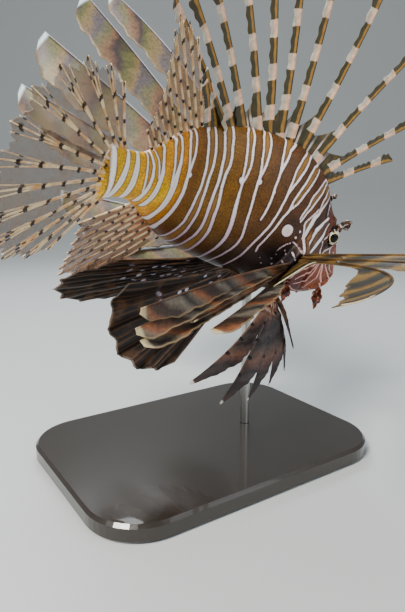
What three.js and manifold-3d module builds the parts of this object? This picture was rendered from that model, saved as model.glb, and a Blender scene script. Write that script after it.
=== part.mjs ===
// Red lionfish, life size, swimming nose down and banked on a plain display stand.
// Millimetres, +Z up, +X the way the fish heads, origin at the middle of the base's underside.
import * as THREE from 'three';
import { mergeVertices } from 'three/addons/utils/BufferGeometryUtils.js';
import Module from 'manifold-3d';

const wasm = await Module();
wasm.setup();

// Driving dimensions of the fish. Shares called s, z and w are parts of the body length,
// s counted back from the snout, z up from the body's mid line, w out to one side.
const BODY_LENGTH = 240;
const TAIL_BEND = THREE.MathUtils.degToRad(41);
const BEND_FROM = 0.5;
const BEND_TO = 0.85;
const NOSE_DOWN = THREE.MathUtils.degToRad(20.4);
const BANK = THREE.MathUtils.degToRad(22.3);
const GAP = 0.3;
const MEMBRANE = 0.6;
const MEMBRANE_HALF = MEMBRANE / 2;
const RIDGE_TIP = MEMBRANE * 0.6;

// Where the trunk is parted from the head and from the tail stalk.
const HEAD_END = 0.27;
const TRUNK_END = 0.7;

// Stand: a flat base and one rod up to the belly.
const BASE_LENGTH = 220;
const BASE_WIDTH = 160;
const BASE_THICKNESS = 12;
const BASE_CORNER = 34;
const BASE_BEVEL = 2;
const ROD_AT = 0.3;
const ROD_X = 40;
const ROD_RADIUS = 3.5;
const CUP_RADIUS = 7;
const CUP_HEIGHT = 9;
const BELLY_HEIGHT = 128;

// Side profile and plan of the body.
const TOP_LINE = [[0, -0.052], [0.03, 0], [0.08, 0.062], [0.13, 0.108], [0.18, 0.146], [0.24, 0.195],
  [0.35, 0.232], [0.45, 0.23], [0.55, 0.212], [0.65, 0.178], [0.75, 0.133], [0.83, 0.085], [0.9, 0.058],
  [1, 0.056]];
const BELLY_LINE = [[0, -0.074], [0.03, -0.126], [0.08, -0.156], [0.15, -0.17], [0.25, -0.172],
  [0.4, -0.173], [0.52, -0.168], [0.62, -0.155], [0.7, -0.13], [0.78, -0.092], [0.86, -0.062],
  [0.93, -0.051], [1, -0.055]];
const HALF_WIDTH = [[0, 0.014], [0.03, 0.04], [0.08, 0.06], [0.15, 0.08], [0.24, 0.097], [0.35, 0.1],
  [0.45, 0.094], [0.55, 0.08], [0.65, 0.062], [0.75, 0.046], [0.85, 0.032], [0.93, 0.022], [1, 0.017]];
const RING_SIDES = 24;

function smoothStep(t) {
  const c = Math.min(1, Math.max(0, t));
  return c * c * (3 - 2 * c);
}

function mix(a, b, t) {
  return a + (b - a) * t;
}

// A smooth curve through a profile's points.
function along(profile, s) {
  const last = profile.length - 1;
  if (s <= profile[0][0]) return profile[0][1];
  if (s >= profile[last][0]) return profile[last][1];
  let i = 0;
  while (profile[i + 1][0] < s) i += 1;
  const [x0, y0] = profile[i];
  const [x1, y1] = profile[i + 1];
  const before = profile[Math.max(0, i - 1)];
  const after = profile[Math.min(last, i + 2)];
  const slope0 = (y1 - before[1]) / (x1 - before[0]);
  const slope1 = (after[1] - y0) / (after[0] - x0);
  const h = x1 - x0;
  const t = (s - x0) / h;
  const a = (1 + 2 * t) * (1 - t) * (1 - t) * y0 + t * (1 - t) * (1 - t) * h * slope0;
  return a + t * t * (3 - 2 * t) * y1 + t * t * (t - 1) * h * slope1;
}

// The mid line bends to the fish's right between BEND_FROM and BEND_TO. It runs on past the tail.
function headingAt(s) {
  return TAIL_BEND * smoothStep((s - BEND_FROM) / (BEND_TO - BEND_FROM));
}

const MID_STEP = 0.005;
const MID_END = 1.7;
const midLine = [[0, 0]];
for (let i = 1; i * MID_STEP <= MID_END; i += 1) {
  const turn = headingAt((i - 0.5) * MID_STEP);
  const [x, y] = midLine[i - 1];
  const pace = MID_STEP * BODY_LENGTH;
  midLine.push([x - Math.cos(turn) * pace, y - Math.sin(turn) * pace]);
}

// A point of the fish from its shares: s back, w to the left (minus is right), z up.
function at(s, w, z) {
  if (s < 0) return new THREE.Vector3(-s * BODY_LENGTH, w * BODY_LENGTH, z * BODY_LENGTH);
  const place = Math.min(s / MID_STEP, midLine.length - 1.001);
  const i = Math.floor(place);
  const turn = headingAt(s);
  const x = mix(midLine[i][0], midLine[i + 1][0], place - i);
  const y = mix(midLine[i][1], midLine[i + 1][1], place - i);
  const out = w * BODY_LENGTH;
  return new THREE.Vector3(x - Math.sin(turn) * out, y + Math.cos(turn) * out, z * BODY_LENGTH);
}

// Closed meshes and the solids made of them.
function signedVolume(points, triangles) {
  let six = 0;
  for (const [a, b, c] of triangles) six += points[a].dot(points[b].clone().cross(points[c]));
  return six;
}

function solid(points, triangles) {
  const inward = signedVolume(points, triangles) < 0;
  const faces = triangles.map(([a, b, c]) => (inward ? [a, c, b] : [a, b, c]));
  const vertProperties = Float32Array.from(points.flatMap((p) => [p.x, p.y, p.z]));
  const triVerts = Uint32Array.from(faces.flat());
  return new wasm.Manifold(new wasm.Mesh({ numProp: 3, vertProperties, triVerts }));
}

function solidOf(geometry) {
  const bare = geometry.clone();
  bare.deleteAttribute('normal');
  bare.deleteAttribute('uv');
  const merged = mergeVertices(bare, 1e-4);
  const vertProperties = Float32Array.from(merged.attributes.position.array);
  const triVerts = Uint32Array.from(merged.index.array);
  return new wasm.Manifold(new wasm.Mesh({ numProp: 3, vertProperties, triVerts }));
}

// The largest closed surface of a solid, as a geometry, with its shortest edges closed up.
const SHORT_EDGE = 0.05;
function geometryOf(body) {
  let best = null;
  for (const piece of body.simplify(SHORT_EDGE).decompose()) {
    if (!best || piece.volume() > best.volume()) best = piece;
  }
  const mesh = best.getMesh();
  const geometry = new THREE.BufferGeometry();
  const positions = [];
  for (let i = 0; i < mesh.vertProperties.length; i += mesh.numProp) {
    positions.push(mesh.vertProperties[i], mesh.vertProperties[i + 1], mesh.vertProperties[i + 2]);
  }
  geometry.setAttribute('position', new THREE.BufferAttribute(Float32Array.from(positions), 3));
  geometry.setIndex(Array.from(mesh.triVerts));
  geometry.computeVertexNormals();
  return geometry;
}

function union(solids) {
  return solids.reduce((whole, piece) => whole.add(piece));
}

// Rings of points skinned into a closed body, with a flat or pointed end.
function skinned(rings) {
  const sides = rings[0].length;
  const points = rings.flat();
  const triangles = [];
  for (let r = 0; r + 1 < rings.length; r += 1) {
    for (let k = 0; k < sides; k += 1) {
      const a = r * sides + k;
      const b = r * sides + ((k + 1) % sides);
      triangles.push([a, b, a + sides], [b, b + sides, a + sides]);
    }
  }
  for (const end of [0, rings.length - 1]) {
    const middle = rings[end].reduce((sum, p) => sum.add(p), new THREE.Vector3()).divideScalar(sides);
    points.push(middle);
    for (let k = 0; k < sides; k += 1) {
      const a = end * sides + k;
      const b = end * sides + ((k + 1) % sides);
      triangles.push(end === 0 ? [b, a, points.length - 1] : [a, b, points.length - 1]);
    }
  }
  return solid(points, triangles);
}

// Body: rings round the mid line, a narrow back and a fuller belly.
const WIDEST_LEVEL = 0.42;
const BACK_NARROWING = 0.22;
function sectionPoint(s, angle, grow) {
  const top = along(TOP_LINE, s);
  const belly = along(BELLY_LINE, s);
  const level = mix(belly, top, WIDEST_LEVEL);
  const up = Math.cos(angle);
  const out = Math.sin(angle);
  const half = along(HALF_WIDTH, s) * (1 - BACK_NARROWING * Math.max(0, up) ** 2);
  const z = level + up * (up > 0 ? top - level : level - belly) + (up * grow) / BODY_LENGTH;
  return at(s, out * (half + grow / BODY_LENGTH), z);
}

function bodyRings(stations, grow) {
  return stations.map((s) => {
    const ring = [];
    for (let k = 0; k < RING_SIDES; k += 1) {
      ring.push(sectionPoint(s, (k / RING_SIDES) * 2 * Math.PI, grow));
    }
    return ring;
  });
}

function evenly(from, to, count) {
  return Array.from({ length: count + 1 }, (_, i) => mix(from, to, i / count));
}

// Half the body's width at a height z.
function halfWidthAt(s, z) {
  const top = along(TOP_LINE, s);
  const belly = along(BELLY_LINE, s);
  const level = mix(belly, top, WIDEST_LEVEL);
  const up = z > level ? (z - level) / (top - level) : (z - level) / (level - belly);
  const kept = Math.max(-1, Math.min(1, up));
  return along(HALF_WIDTH, s) * (1 - BACK_NARROWING * Math.max(0, kept) ** 2) * Math.sqrt(1 - kept * kept);
}

const headStations = [0.001, 0.01, 0.025, 0.045, ...evenly(0.07, HEAD_END, 10)];
const trunkStations = evenly(HEAD_END + GAP / BODY_LENGTH, TRUNK_END, 11);
const stalkStations = evenly(TRUNK_END + GAP / BODY_LENGTH, 1, 9);
const grownBody = skinned(bodyRings([...headStations, ...evenly(0.3, 1 + GAP / BODY_LENGTH, 18)], GAP));
const headBlank = skinned(bodyRings(headStations, 0));

// A prism across the fish over an outline of (s, z) points.
function acrossPrism(outline, from, to) {
  const ring = (y) => outline.map(([s, z]) => new THREE.Vector3(-s * BODY_LENGTH, y, z * BODY_LENGTH));
  return skinned([ring(from), ring(to)]);
}

// Mouth: a slanting cut from the snout to below the eye, with a lip raised along each side.
const MOUTH_FRONT = [0, -0.065];
const MOUTH_CORNER = [0.1, -0.116];
const JAW_THROAT = [0.145, -0.155];
const MOUTH_CUT = 0.7;
const JAW_FORE = [-0.05, -0.047];
const UNDER_JAW = -0.25;
function jawOutline(gap) {
  const up = gap / BODY_LENGTH;
  return [[JAW_FORE[0], JAW_FORE[1] + up], [MOUTH_CORNER[0] + up, MOUTH_CORNER[1] + up],
    [JAW_THROAT[0] + up, JAW_THROAT[1] + up], [JAW_THROAT[0] + up, UNDER_JAW], [JAW_FORE[0], UNDER_JAW]];
}

const LIP_RADIUS = 1.7;
const LIP_START = 0.006;
const LIP_STEPS = 8;
const LIP_SIDES = 6;
const LIP_THINNING = 0.45;
const UPPER_LIP = MOUTH_CUT + LIP_RADIUS * 0.5;
const LOWER_LIP = -LIP_RADIUS * 0.6;

function lip(shift) {
  const rings = [];
  for (let i = -LIP_STEPS; i <= LIP_STEPS; i += 1) {
    const t = Math.abs(i) / LIP_STEPS;
    const s = mix(LIP_START, MOUTH_CORNER[0], t * t * 0.6 + t * 0.4);
    const z = mix(MOUTH_FRONT[1], MOUTH_CORNER[1], s / MOUTH_CORNER[0]) + shift / BODY_LENGTH;
    const centre = at(s, Math.sign(i) * halfWidthAt(s, z) * 0.96, z);
    if (i === 0) centre.x += LIP_RADIUS * 0.3;
    const radius = LIP_RADIUS * (1 - LIP_THINNING * t);
    const outward = new THREE.Vector3(1 - t, Math.sign(i) * (0.35 + t), 0).normalize();
    const ring = [];
    for (let k = 0; k < LIP_SIDES; k += 1) {
      const a = (k / LIP_SIDES) * 2 * Math.PI;
      const p = centre.clone().addScaledVector(outward, Math.cos(a) * radius);
      ring.push(p.add(new THREE.Vector3(0, 0, Math.sin(a) * radius)));
    }
    rings.push(ring);
  }
  return skinned(rings);
}

// Eyes: large, standing a little proud of sockets with a raised rim.
const EYE = { s: 0.14, z: 0.054, radius: 7.4, out: 0.046 };
const RIM = { radius: EYE.radius * 0.95, thick: 1.5, turn: 0.16, proud: EYE.radius * 0.42 };
function eyeCentre(side) {
  return at(EYE.s, side * EYE.out, EYE.z);
}

function eyeBall(side, grow) {
  const ball = new THREE.SphereGeometry(EYE.radius + grow, 14, 9);
  ball.rotateX(Math.PI / 2);
  const centre = eyeCentre(side);
  ball.translate(centre.x, centre.y, centre.z);
  return solidOf(ball);
}

function eyeRim(side) {
  const rim = new THREE.TorusGeometry(RIM.radius, RIM.thick, 5, 14);
  rim.rotateX(Math.PI / 2);
  rim.rotateZ(-side * RIM.turn);
  const centre = eyeCentre(side);
  rim.translate(centre.x, centre.y + side * RIM.proud, centre.z);
  return solidOf(rim);
}

// Nostrils: two short pits on each side of the snout.
const NOSTRILS = [{ s: 0.045, z: 0.01, radius: 0.9 }, { s: 0.075, z: 0.035, radius: 1.1 }];
const PIT_LENGTH = 8;
function nostril(side, { s, z, radius }) {
  const pit = new THREE.CylinderGeometry(radius, radius, PIT_LENGTH, 8);
  const centre = at(s, side * halfWidthAt(s, z), z);
  pit.translate(centre.x, centre.y, centre.z);
  return solidOf(pit);
}

// Gill covers: a plate on each cheek, standing a little proud of the head.
const GILL = { s: 0.205, z: -0.03, reach: 0.052, height: 0.092, tilt: 0.28, depth: 10, proud: 0.8 };
const GILL_SIDES = 18;
const PAST_BODY = 60;
function gillPrism(side, gap) {
  const outline = [];
  for (let k = 0; k < GILL_SIDES; k += 1) {
    const a = (k / GILL_SIDES) * 2 * Math.PI;
    const ds = Math.cos(a) * (GILL.reach + gap / BODY_LENGTH);
    const dz = Math.sin(a) * (GILL.height + gap / BODY_LENGTH);
    outline.push([GILL.s + ds * Math.cos(GILL.tilt) + dz * Math.sin(GILL.tilt),
      GILL.z - ds * Math.sin(GILL.tilt) + dz * Math.cos(GILL.tilt)]);
  }
  return acrossPrism(outline, side * (GILL.depth - gap), side * PAST_BODY);
}

const jawCut = acrossPrism(jawOutline(MOUTH_CUT), -PAST_BODY, PAST_BODY);
const jawKeep = acrossPrism(jawOutline(0), -PAST_BODY, PAST_BODY);
const proudHead = skinned(bodyRings(headStations, GILL.proud));

function makeHead() {
  let head = union([headBlank, lip(UPPER_LIP), eyeRim(1), eyeRim(-1)]).subtract(jawCut);
  for (const side of [-1, 1]) {
    head = head.subtract(eyeBall(side, GAP)).subtract(gillPrism(side, GAP));
    for (const pit of NOSTRILS) head = head.subtract(nostril(side, pit));
  }
  return head;
}

function makeJaw() {
  return union([headBlank, lip(LOWER_LIP)]).intersect(jawKeep);
}

// A fin ray, spine or plume: a bent path that leaves its sunk root one way and ends another way.
function ray(root, startWay, endWay, length) {
  const middle = root.clone().addScaledVector(startWay, length / 2);
  const tip = middle.clone().addScaledVector(endWay, length / 2);
  return { root, middle, tip, length };
}

function rayPoint(path, t) {
  const p = path.root.clone().multiplyScalar((1 - t) * (1 - t));
  return p.addScaledVector(path.middle, 2 * t * (1 - t)).addScaledVector(path.tip, t * t);
}

function rayWay(path, t) {
  const start = path.middle.clone().sub(path.root).multiplyScalar(1 - t);
  return start.addScaledVector(path.tip.clone().sub(path.middle), t).normalize();
}

// A thin body between two faces split alike: each knot has a place, a normal and a half thickness,
// and each cell joins four knots in turn.
function thickened(knots, cells) {
  const face = (side) => knots.map(({ place, normal, half }) => (
    place.clone().addScaledVector(normal, side * half)));
  const points = [...face(1), ...face(-1)];
  const under = knots.length;
  const triangles = [];
  const edges = new Set();
  for (const [a, b, c, d] of cells) {
    triangles.push([a, b, c], [a, c, d]);
    triangles.push([under + a, under + c, under + b], [under + a, under + d, under + c]);
    for (const [from, to] of [[a, b], [b, c], [c, d], [d, a]]) edges.add(`${from} ${to}`);
  }
  for (const edge of edges) {
    const [from, to] = edge.split(' ').map(Number);
    if (edges.has(`${to} ${from}`)) continue;
    triangles.push([to, from, under + from], [to, under + from, under + to]);
  }
  return solid(points, triangles);
}

// The cells between neighbouring columns of knots that joined(column, row) keeps.
function sheet(grid, joined = () => true) {
  const rows = grid[0].length;
  const cells = [];
  for (let u = 0; u + 1 < grid.length; u += 1) {
    for (let v = 0; v + 1 < rows; v += 1) {
      const a = u * rows + v;
      if (joined(u, v)) cells.push([a, a + rows, a + rows + 1, a + 1]);
    }
  }
  return thickened(grid.flat(), cells);
}

// A fin's membrane with its rays as ridges on both faces, notched between the tips.
const RIDGE_FOOT = 0.24;
const RIDGE_HALF = 0.9;
const NOTCH = 0.05;
const MEMBRANE_ROWS = 4;
function membrane(rays) {
  const last = rays.length - 1;
  const normals = rays.map((path, i) => {
    const before = rays[Math.max(i - 1, 0)];
    const after = rays[Math.min(i + 1, last)];
    const across = rayPoint(after, 0.6).sub(rayPoint(before, 0.6));
    return path.tip.clone().sub(path.root).cross(across).normalize();
  });
  const grid = [];
  for (let i = 0; i <= last; i += 1) {
    for (const between of i < last ? [0, RIDGE_FOOT, 1 - RIDGE_FOOT] : [0]) {
      const next = Math.min(i + 1, last);
      const normal = normals[i].clone().lerp(normals[next], between).normalize();
      const column = [];
      for (let v = 0; v <= MEMBRANE_ROWS; v += 1) {
        const t = (v / MEMBRANE_ROWS) * (between ? 1 - NOTCH : 1);
        const place = rayPoint(rays[i], t).lerp(rayPoint(rays[next], t), between);
        const half = between ? MEMBRANE_HALF : mix(RIDGE_HALF, RIDGE_TIP, t);
        column.push({ place, normal, half });
      }
      grid.push(column);
    }
  }
  return sheet(grid);
}

// Spines, plumes and fingers: each ray is a ridge with a membrane on one side, joined to the next
// ray up to the share called web and hanging free beyond it. Widths are shares of each membrane's
// own width.
const VANES = {
  spine: { stations: [0, 0.1, 0.17, 0.5, 0.85, 0.94, 1], web: 0.12, ridge: 1.3,
    widths: [[0, 2], [0.13, 1.4], [0.3, 1], [0.7, 1], [0.88, 1.5], [0.95, 1.1], [1, 0.2]] },
  plume: { stations: [0, 0.13, 0.24, 0.32, 0.5, 0.7, 0.88, 0.96, 1], web: 0.25, ridge: 1.05,
    widths: [[0, 0.1], [0.2, 0.6], [0.45, 1], [0.75, 1.02], [0.9, 0.85], [0.97, 0.55], [1, 0.2]] },
  folded: { stations: [0, 0.13, 0.24, 0.36, 0.5, 0.62, 0.75, 0.88, 1], web: 0.25, ridge: 1.2,
    widths: [[0, 0.05], [0.36, 0.14], [0.5, 0.75], [0.62, 1], [0.88, 0.95], [1, 0.5]] },
  finger: { stations: [0, 0.12, 0.3, 0.42, 0.6, 0.82, 1], web: 0.32, ridge: 1,
    widths: [[0, 0.1], [0.25, 0.7], [0.5, 1], [0.7, 0.9], [0.88, 0.45], [1, 0.1]] },
};
const RIPPLES = 11;
const SHINGLE = THREE.MathUtils.degToRad(24);
const WEB_END = 0.2;
const FREE_SHARE = 0.75;
const WEB_SHARE = 0.6;
const FOOT_SLOPE = 1.3;
const FOOT_SHARE = 0.3;
const CREST_SHARE = 0.4;
const LEAST_FREE = 1.7;
function vaneColumns(path, next, trailing, form, width, wave) {
  const { stations, web, ridge, widths } = VANES[form];
  const columns = [[], [], [], []];
  for (const t of stations) {
    const place = rayPoint(path, t);
    const way = rayWay(path, t);
    const webbed = next && t < web;
    const room = next ? rayPoint(next, t).sub(place) : trailing.clone().multiplyScalar(BODY_LENGTH);
    const side = (webbed ? room : trailing).clone();
    side.addScaledVector(way, -side.dot(way)).normalize();
    const normal = way.clone().cross(side);
    const spacing = room.addScaledVector(way, -room.dot(way)).length();
    const crest = Math.min(mix(ridge, RIDGE_TIP, t), Math.max(spacing * CREST_SHARE, RIDGE_TIP));
    const foot = Math.min(crest * FOOT_SLOPE, spacing * FOOT_SHARE);
    const free = Math.min(along(widths, t) * width, next ? spacing * FREE_SHARE : width);
    const reach = webbed ? spacing * WEB_SHARE : Math.max(foot * LEAST_FREE, free);
    const lift = webbed || form === 'spine' ? 0 : SHINGLE;
    const ripple = webbed ? 0 : wave * t * Math.sin(RIPPLES * t);
    const edge = place.clone().addScaledVector(side, reach * Math.cos(lift));
    edge.addScaledVector(normal, reach * Math.sin(lift) + ripple);
    const before = place.clone().addScaledVector(side, -foot);
    const behind = place.clone().addScaledVector(side, foot);
    columns[0].push({ place: before, normal, half: MEMBRANE_HALF });
    columns[1].push({ place, normal, half: crest });
    columns[2].push({ place: behind, normal, half: MEMBRANE_HALF });
    columns[3].push({ place: edge, normal, half: MEMBRANE_HALF });
  }
  return columns;
}

function vanes(rays, forms, widths, wave, trailing) {
  const last = rays.length - 1;
  const columnsOf = (i, form) => {
    const pair = Math.min(i, last - 1);
    const toNext = rayPoint(rays[pair + 1], 0.6).sub(rayPoint(rays[pair], 0.6)).normalize();
    return vaneColumns(rays[i], rays[i + 1], trailing ?? toNext, form, widths[i], wave);
  };
  return union(rays.map((path, i) => {
    const { stations, web } = VANES[forms[i]];
    const columns = columnsOf(i, forms[i]);
    const own = columns.length;
    if (i < last) {
      const crest = columnsOf(i + 1, forms[i])[1];
      columns.push(crest.map((knot) => ({ ...knot, half: WEB_END })));
    }
    return sheet(columns, (column, row) => column < own - 1 || stations[row + 1] < web);
  }));
}

// Directions: back is towards the tail, out is away from the body on one side.
function direction(side, outAngle, downAngle) {
  const out = THREE.MathUtils.degToRad(outAngle);
  const down = THREE.MathUtils.degToRad(downAngle);
  const level = Math.cos(down);
  return new THREE.Vector3(-level * Math.cos(out), side * level * Math.sin(out), -Math.sin(down));
}

// A ray standing in the middle plane at s, leaning back by an angle, its root sunk below the skin.
const SUNK = 4;
function midRay(s, z, leanBack, length, curl = 0) {
  const turn = headingAt(s);
  const back = new THREE.Vector3(-Math.cos(turn), -Math.sin(turn), 0);
  const up = new THREE.Vector3(0, 0, Math.sign(z));
  const way = (degrees) => {
    const lean = THREE.MathUtils.degToRad(degrees);
    return up.clone().multiplyScalar(Math.cos(lean)).addScaledVector(back, Math.sin(lean));
  };
  const start = way(leanBack - curl);
  const root = at(s, 0, z).addScaledVector(start, -SUNK);
  return ray(root, start, way(leanBack + curl), length + SUNK);
}

// Spiny dorsal fin: thirteen spines fanned from leaning forward to leaning back, each with its place,
// lean in degrees and length as a share of the body's.
const DORSAL_SPINES = [[0.222, -50, 0.24], [0.25, -39, 0.36], [0.3, -17, 0.47], [0.364, 4, 0.48],
  [0.413, 19, 0.48], [0.449, 28, 0.47], [0.487, 34, 0.46], [0.522, 41, 0.44], [0.57, 48, 0.41],
  [0.606, 54, 0.38], [0.632, 59, 0.34], [0.658, 48, 0.15], [0.68, 42, 0.12]];
const FORWARD_CURL = 6;
const SPINE_VANE = 3.6;
function spinyDorsal() {
  const spines = DORSAL_SPINES.map(([s, lean, length]) => {
    const curl = lean < 0 ? -FORWARD_CURL : FORWARD_CURL / 2;
    return midRay(s, along(TOP_LINE, s), lean, length * BODY_LENGTH, curl);
  });
  return vanes(spines, spines.map(() => 'spine'), spines.map(() => SPINE_VANE), 0);
}

// Soft dorsal, anal and tail fins: where their rays stand, how many they are, and how long and how
// far back each lies by its share along the fin.
const SOFT_DORSAL = {
  from: 0.702,
  to: 0.872,
  rays: 11,
  lengths: [[0, 0.22], [0.15, 0.28], [0.25, 0.285], [0.6, 0.16], [1, 0.075]],
  leans: [[0, 44], [0.3, 53], [1, 60]],
};
const ANAL = {
  from: 0.652,
  to: 0.842,
  rays: 10,
  lengths: [[0, 0.11], [0.12, 0.19], [0.3, 0.275], [0.6, 0.25], [1, 0.2]],
  leans: [[0, 42], [0.3, 55], [0.7, 65], [1, 76]],
};
function midFin(profile, fin) {
  const rays = evenly(0, 1, fin.rays - 1).map((t) => {
    const s = mix(fin.from, fin.to, t);
    return midRay(s, along(profile, s), along(fin.leans, t), along(fin.lengths, t) * BODY_LENGTH);
  });
  return membrane(rays);
}

const TAIL_RAYS = 13;
const TAIL_SPREAD = 47;
const TAIL_CURVE = 4;
const TAIL_ROOT = 0.985;
const TAIL_ROOT_HALF = 0.05;
const TAIL_LENGTHS = [[0, 0.345], [0.4, 0.33], [0.7, 0.26], [1, 0.15]];
function tailRays() {
  const turn = headingAt(1);
  return evenly(-1, 1, TAIL_RAYS - 1).map((t) => {
    const way = (degrees) => {
      const angle = THREE.MathUtils.degToRad(-degrees * t);
      const level = Math.cos(angle);
      return new THREE.Vector3(-Math.cos(turn) * level, -Math.sin(turn) * level, Math.sin(angle));
    };
    const length = along(TAIL_LENGTHS, Math.abs(t)) * BODY_LENGTH;
    const root = at(TAIL_ROOT, 0, -TAIL_ROOT_HALF * t);
    return ray(root, way(TAIL_SPREAD - TAIL_CURVE), way(TAIL_SPREAD + TAIL_CURVE), length + SUNK);
  });
}

// Pelvic fins: a spine and five rays, each with its out angle, down angle and length.
const PELVIC_ROOT = { s: 0.36, step: 0.008, w: 0.03, z: -0.155 };
const PELVIC_CURVE = { out: 4, down: 3 };
function pelvicRays(side, ways) {
  return ways.map(([out, down, length], i) => {
    const root = at(PELVIC_ROOT.s + PELVIC_ROOT.step * i, side * PELVIC_ROOT.w, PELVIC_ROOT.z);
    const start = direction(side, out + PELVIC_CURVE.out, down + PELVIC_CURVE.down);
    return ray(root, start, direction(side, out - PELVIC_CURVE.out, down - PELVIC_CURVE.down), length);
  });
}

const PELVIC_RIGHT = [[38, 68, 80], [29, 62, 92], [20, 54, 98], [14, 44, 98], [12, 31, 94],
  [16, 17, 86]];
const PELVIC_LEFT = [[30, 46, 100], [22, 42, 116], [16, 37, 122], [11, 32, 118], [8, 27, 104],
  [6, 22, 90]];

// Pectoral bases: a fleshy lobe behind each gill cover that carries the fin's rays.
const LOBE_TOP = { s: 0.262, z: -0.012 };
const LOBE_FOOT = { s: 0.285, z: -0.142 };
const LOBE_OUT = 9;
const LOBE_SUNK = 7;
const LOBE_HALF = 6.5;
const LOBE_SIDES = 16;
const LOBE_RINGS = [[-LOBE_SUNK, 0.9], [0, 1], [LOBE_OUT * 0.6, 0.85], [LOBE_OUT, 0.55]];
const RAY_SUNK = 4;
function lobeLine(side, t, out) {
  const s = mix(LOBE_TOP.s, LOBE_FOOT.s, t);
  const z = mix(LOBE_TOP.z, LOBE_FOOT.z, t);
  const p = at(s, side * halfWidthAt(s, z), z);
  return p.add(new THREE.Vector3(-0.25, side * 0.94, -0.2).multiplyScalar(out));
}

function pectoralLobe(side, grow) {
  const rings = [];
  for (const [reach, size] of LOBE_RINGS) {
    const out = reach === LOBE_OUT ? reach + grow : reach;
    const top = lobeLine(side, 0, out);
    const foot = lobeLine(side, 1, out);
    const middle = top.clone().lerp(foot, 0.5);
    const half = top.clone().sub(foot).multiplyScalar(0.5 * (0.82 + 0.18 * size));
    half.setLength(half.length() + grow);
    const wide = new THREE.Vector3(LOBE_HALF * size + grow, 0, 0);
    const ring = [];
    for (let k = 0; k < LOBE_SIDES; k += 1) {
      const a = (k / LOBE_SIDES) * 2 * Math.PI;
      ring.push(middle.clone().addScaledVector(half, Math.cos(a)).addScaledVector(wide, Math.sin(a)));
    }
    rings.push(ring);
  }
  return skinned(rings);
}

// Pectoral rays: place on the lobe, length, width of the free membrane, and the out and down angles
// that the ray starts and ends with.
const PECTORALS = {
  upper_right: [
    [0.04, 190, 8, 87, 88, -27, -28],
    [0.11, 186, 9, 82, 84, -24, -25],
    [0.2, 214, 24, 89, 27, -26, 9],
  ],
  middle_right: [
    [0.29, 158, 10, 29, 27, 5, 17],
    [0.36, 156, 10, 32, 24, 8, 22],
    [0.43, 122, 10, 38, 29, 9, 18],
    [0.5, 148, 12, 33, 25, 13, 21],
    [0.57, 112, 13, 42, 34, 12, 15],
  ],
  lower_right: [
    [0.68, 108, 13, 58, 12, 37, 49],
    [0.75, 104, 13, 68, 40, 35, 58],
    [0.81, 92, 11, 80, 65, 36, 61],
    [0.87, 76, 9, 104, 86, 40, 60],
    [0.93, 65, 8, 122, 104, 36, 53],
    [0.975, 54, 6, 126, 90, 27, 30],
  ],
  upper_left: [
    [0.04, 212, 12, 46, 40, -42, -10],
    [0.11, 215, 17, 43, 40, -26, -18],
    [0.18, 217, 20, 38, 39, -15, -9],
    [0.26, 212, 17, 39, 36, -3, 0],
    [0.34, 192, 9, 40, 40, 6, 2],
  ],
  middle_left: [
    [0.45, 168, 14, 46, 46, 16, 20],
    [0.53, 150, 14, 50, 50, 26, 31],
    [0.6, 132, 9, 55, 54, 34, 39],
  ],
  lower_left: [
    [0.72, 108, 12, 62, 54, 46, 52],
    [0.78, 98, 12, 70, 62, 50, 58],
    [0.84, 90, 10, 80, 74, 50, 58],
    [0.89, 80, 8, 92, 86, 48, 55],
    [0.94, 70, 7, 102, 96, 44, 50],
    [0.98, 60, 6, 112, 106, 38, 43],
  ],
};
const FOLD_BACK = new THREE.Vector3(-0.78, 0.4, -0.48);
const RIPPLE = { lower: 0.6, folded: 1, others: 1.6 };
function makePectoral(part, name) {
  const side = name === 'left' ? 1 : -1;
  const ways = PECTORALS[`${part}_${name}`];
  const rays = ways.map(([place, length, , outStart, outEnd, downStart, downEnd]) => {
    const root = lobeLine(side, place, LOBE_OUT - RAY_SUNK);
    return ray(root, direction(side, outStart, downStart), direction(side, outEnd, downEnd), length);
  });
  const widths = ways.map(([, , width]) => width);
  if (part === 'lower') return vanes(rays, rays.map(() => 'finger'), widths, RIPPLE.lower);
  if (part === 'upper' && name === 'right') {
    return vanes(rays, ['plume', 'plume', 'folded'], widths, RIPPLE.folded, FOLD_BACK);
  }
  return vanes(rays, rays.map(() => 'plume'), widths, RIPPLE.others);
}

// Skin flaps: a lobed leaf over each eye, at the mouth and on the cheek.
const FLAP_HALF = { middle: 0.7, edge: 0.35 };
function flap(root, way, across, length, width, lobes) {
  const grid = [];
  const normal = way.clone().cross(across).normalize();
  for (const side of [-1, -0.35, 0.35, 1]) {
    const column = [];
    for (let v = 0; v <= 2 * lobes; v += 1) {
      const t = v / (2 * lobes);
      const swell = Math.sin(Math.PI * Math.min(1, 0.12 + t * 0.86));
      const lobe = v % 2 === 1 ? 1 : 0.72;
      const half = Math.max(0.16, swell * lobe) * width * 0.5;
      const place = root.clone().addScaledVector(way, t * length).addScaledVector(across, side * half);
      place.addScaledVector(normal, 0.8 * Math.sin(t * 9) * side);
      column.push({ place, normal, half: Math.abs(side) < 0.5 ? FLAP_HALF.middle : FLAP_HALF.edge });
    }
    grid.push(column);
  }
  return sheet(grid);
}

function unit(x, y, z) {
  return new THREE.Vector3(x, y, z).normalize();
}

function eyeTentacle(side) {
  const root = at(EYE.s - 0.014, side * (EYE.out + 0.002), EYE.z + 0.022);
  return flap(root, unit(0.3, side * 0.35, 0.85), unit(0.85, 0, -0.35), 11, 7, 3);
}

function mouthBarbel(side) {
  const root = at(0.035, side * halfWidthAt(0.035, -0.11) * 0.85, -0.11);
  return flap(root, unit(0.1, side * 0.35, -0.94), unit(0.85, side * 0.5, 0), 19, 9, 3);
}

function cheekFlap(side) {
  const root = at(0.185, side * halfWidthAt(0.185, -0.135) * 0.9, -0.135);
  return flap(root, unit(-0.25, side * 0.5, -0.83), unit(0.9, side * 0.3, 0), 15, 8, 2);
}

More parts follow.
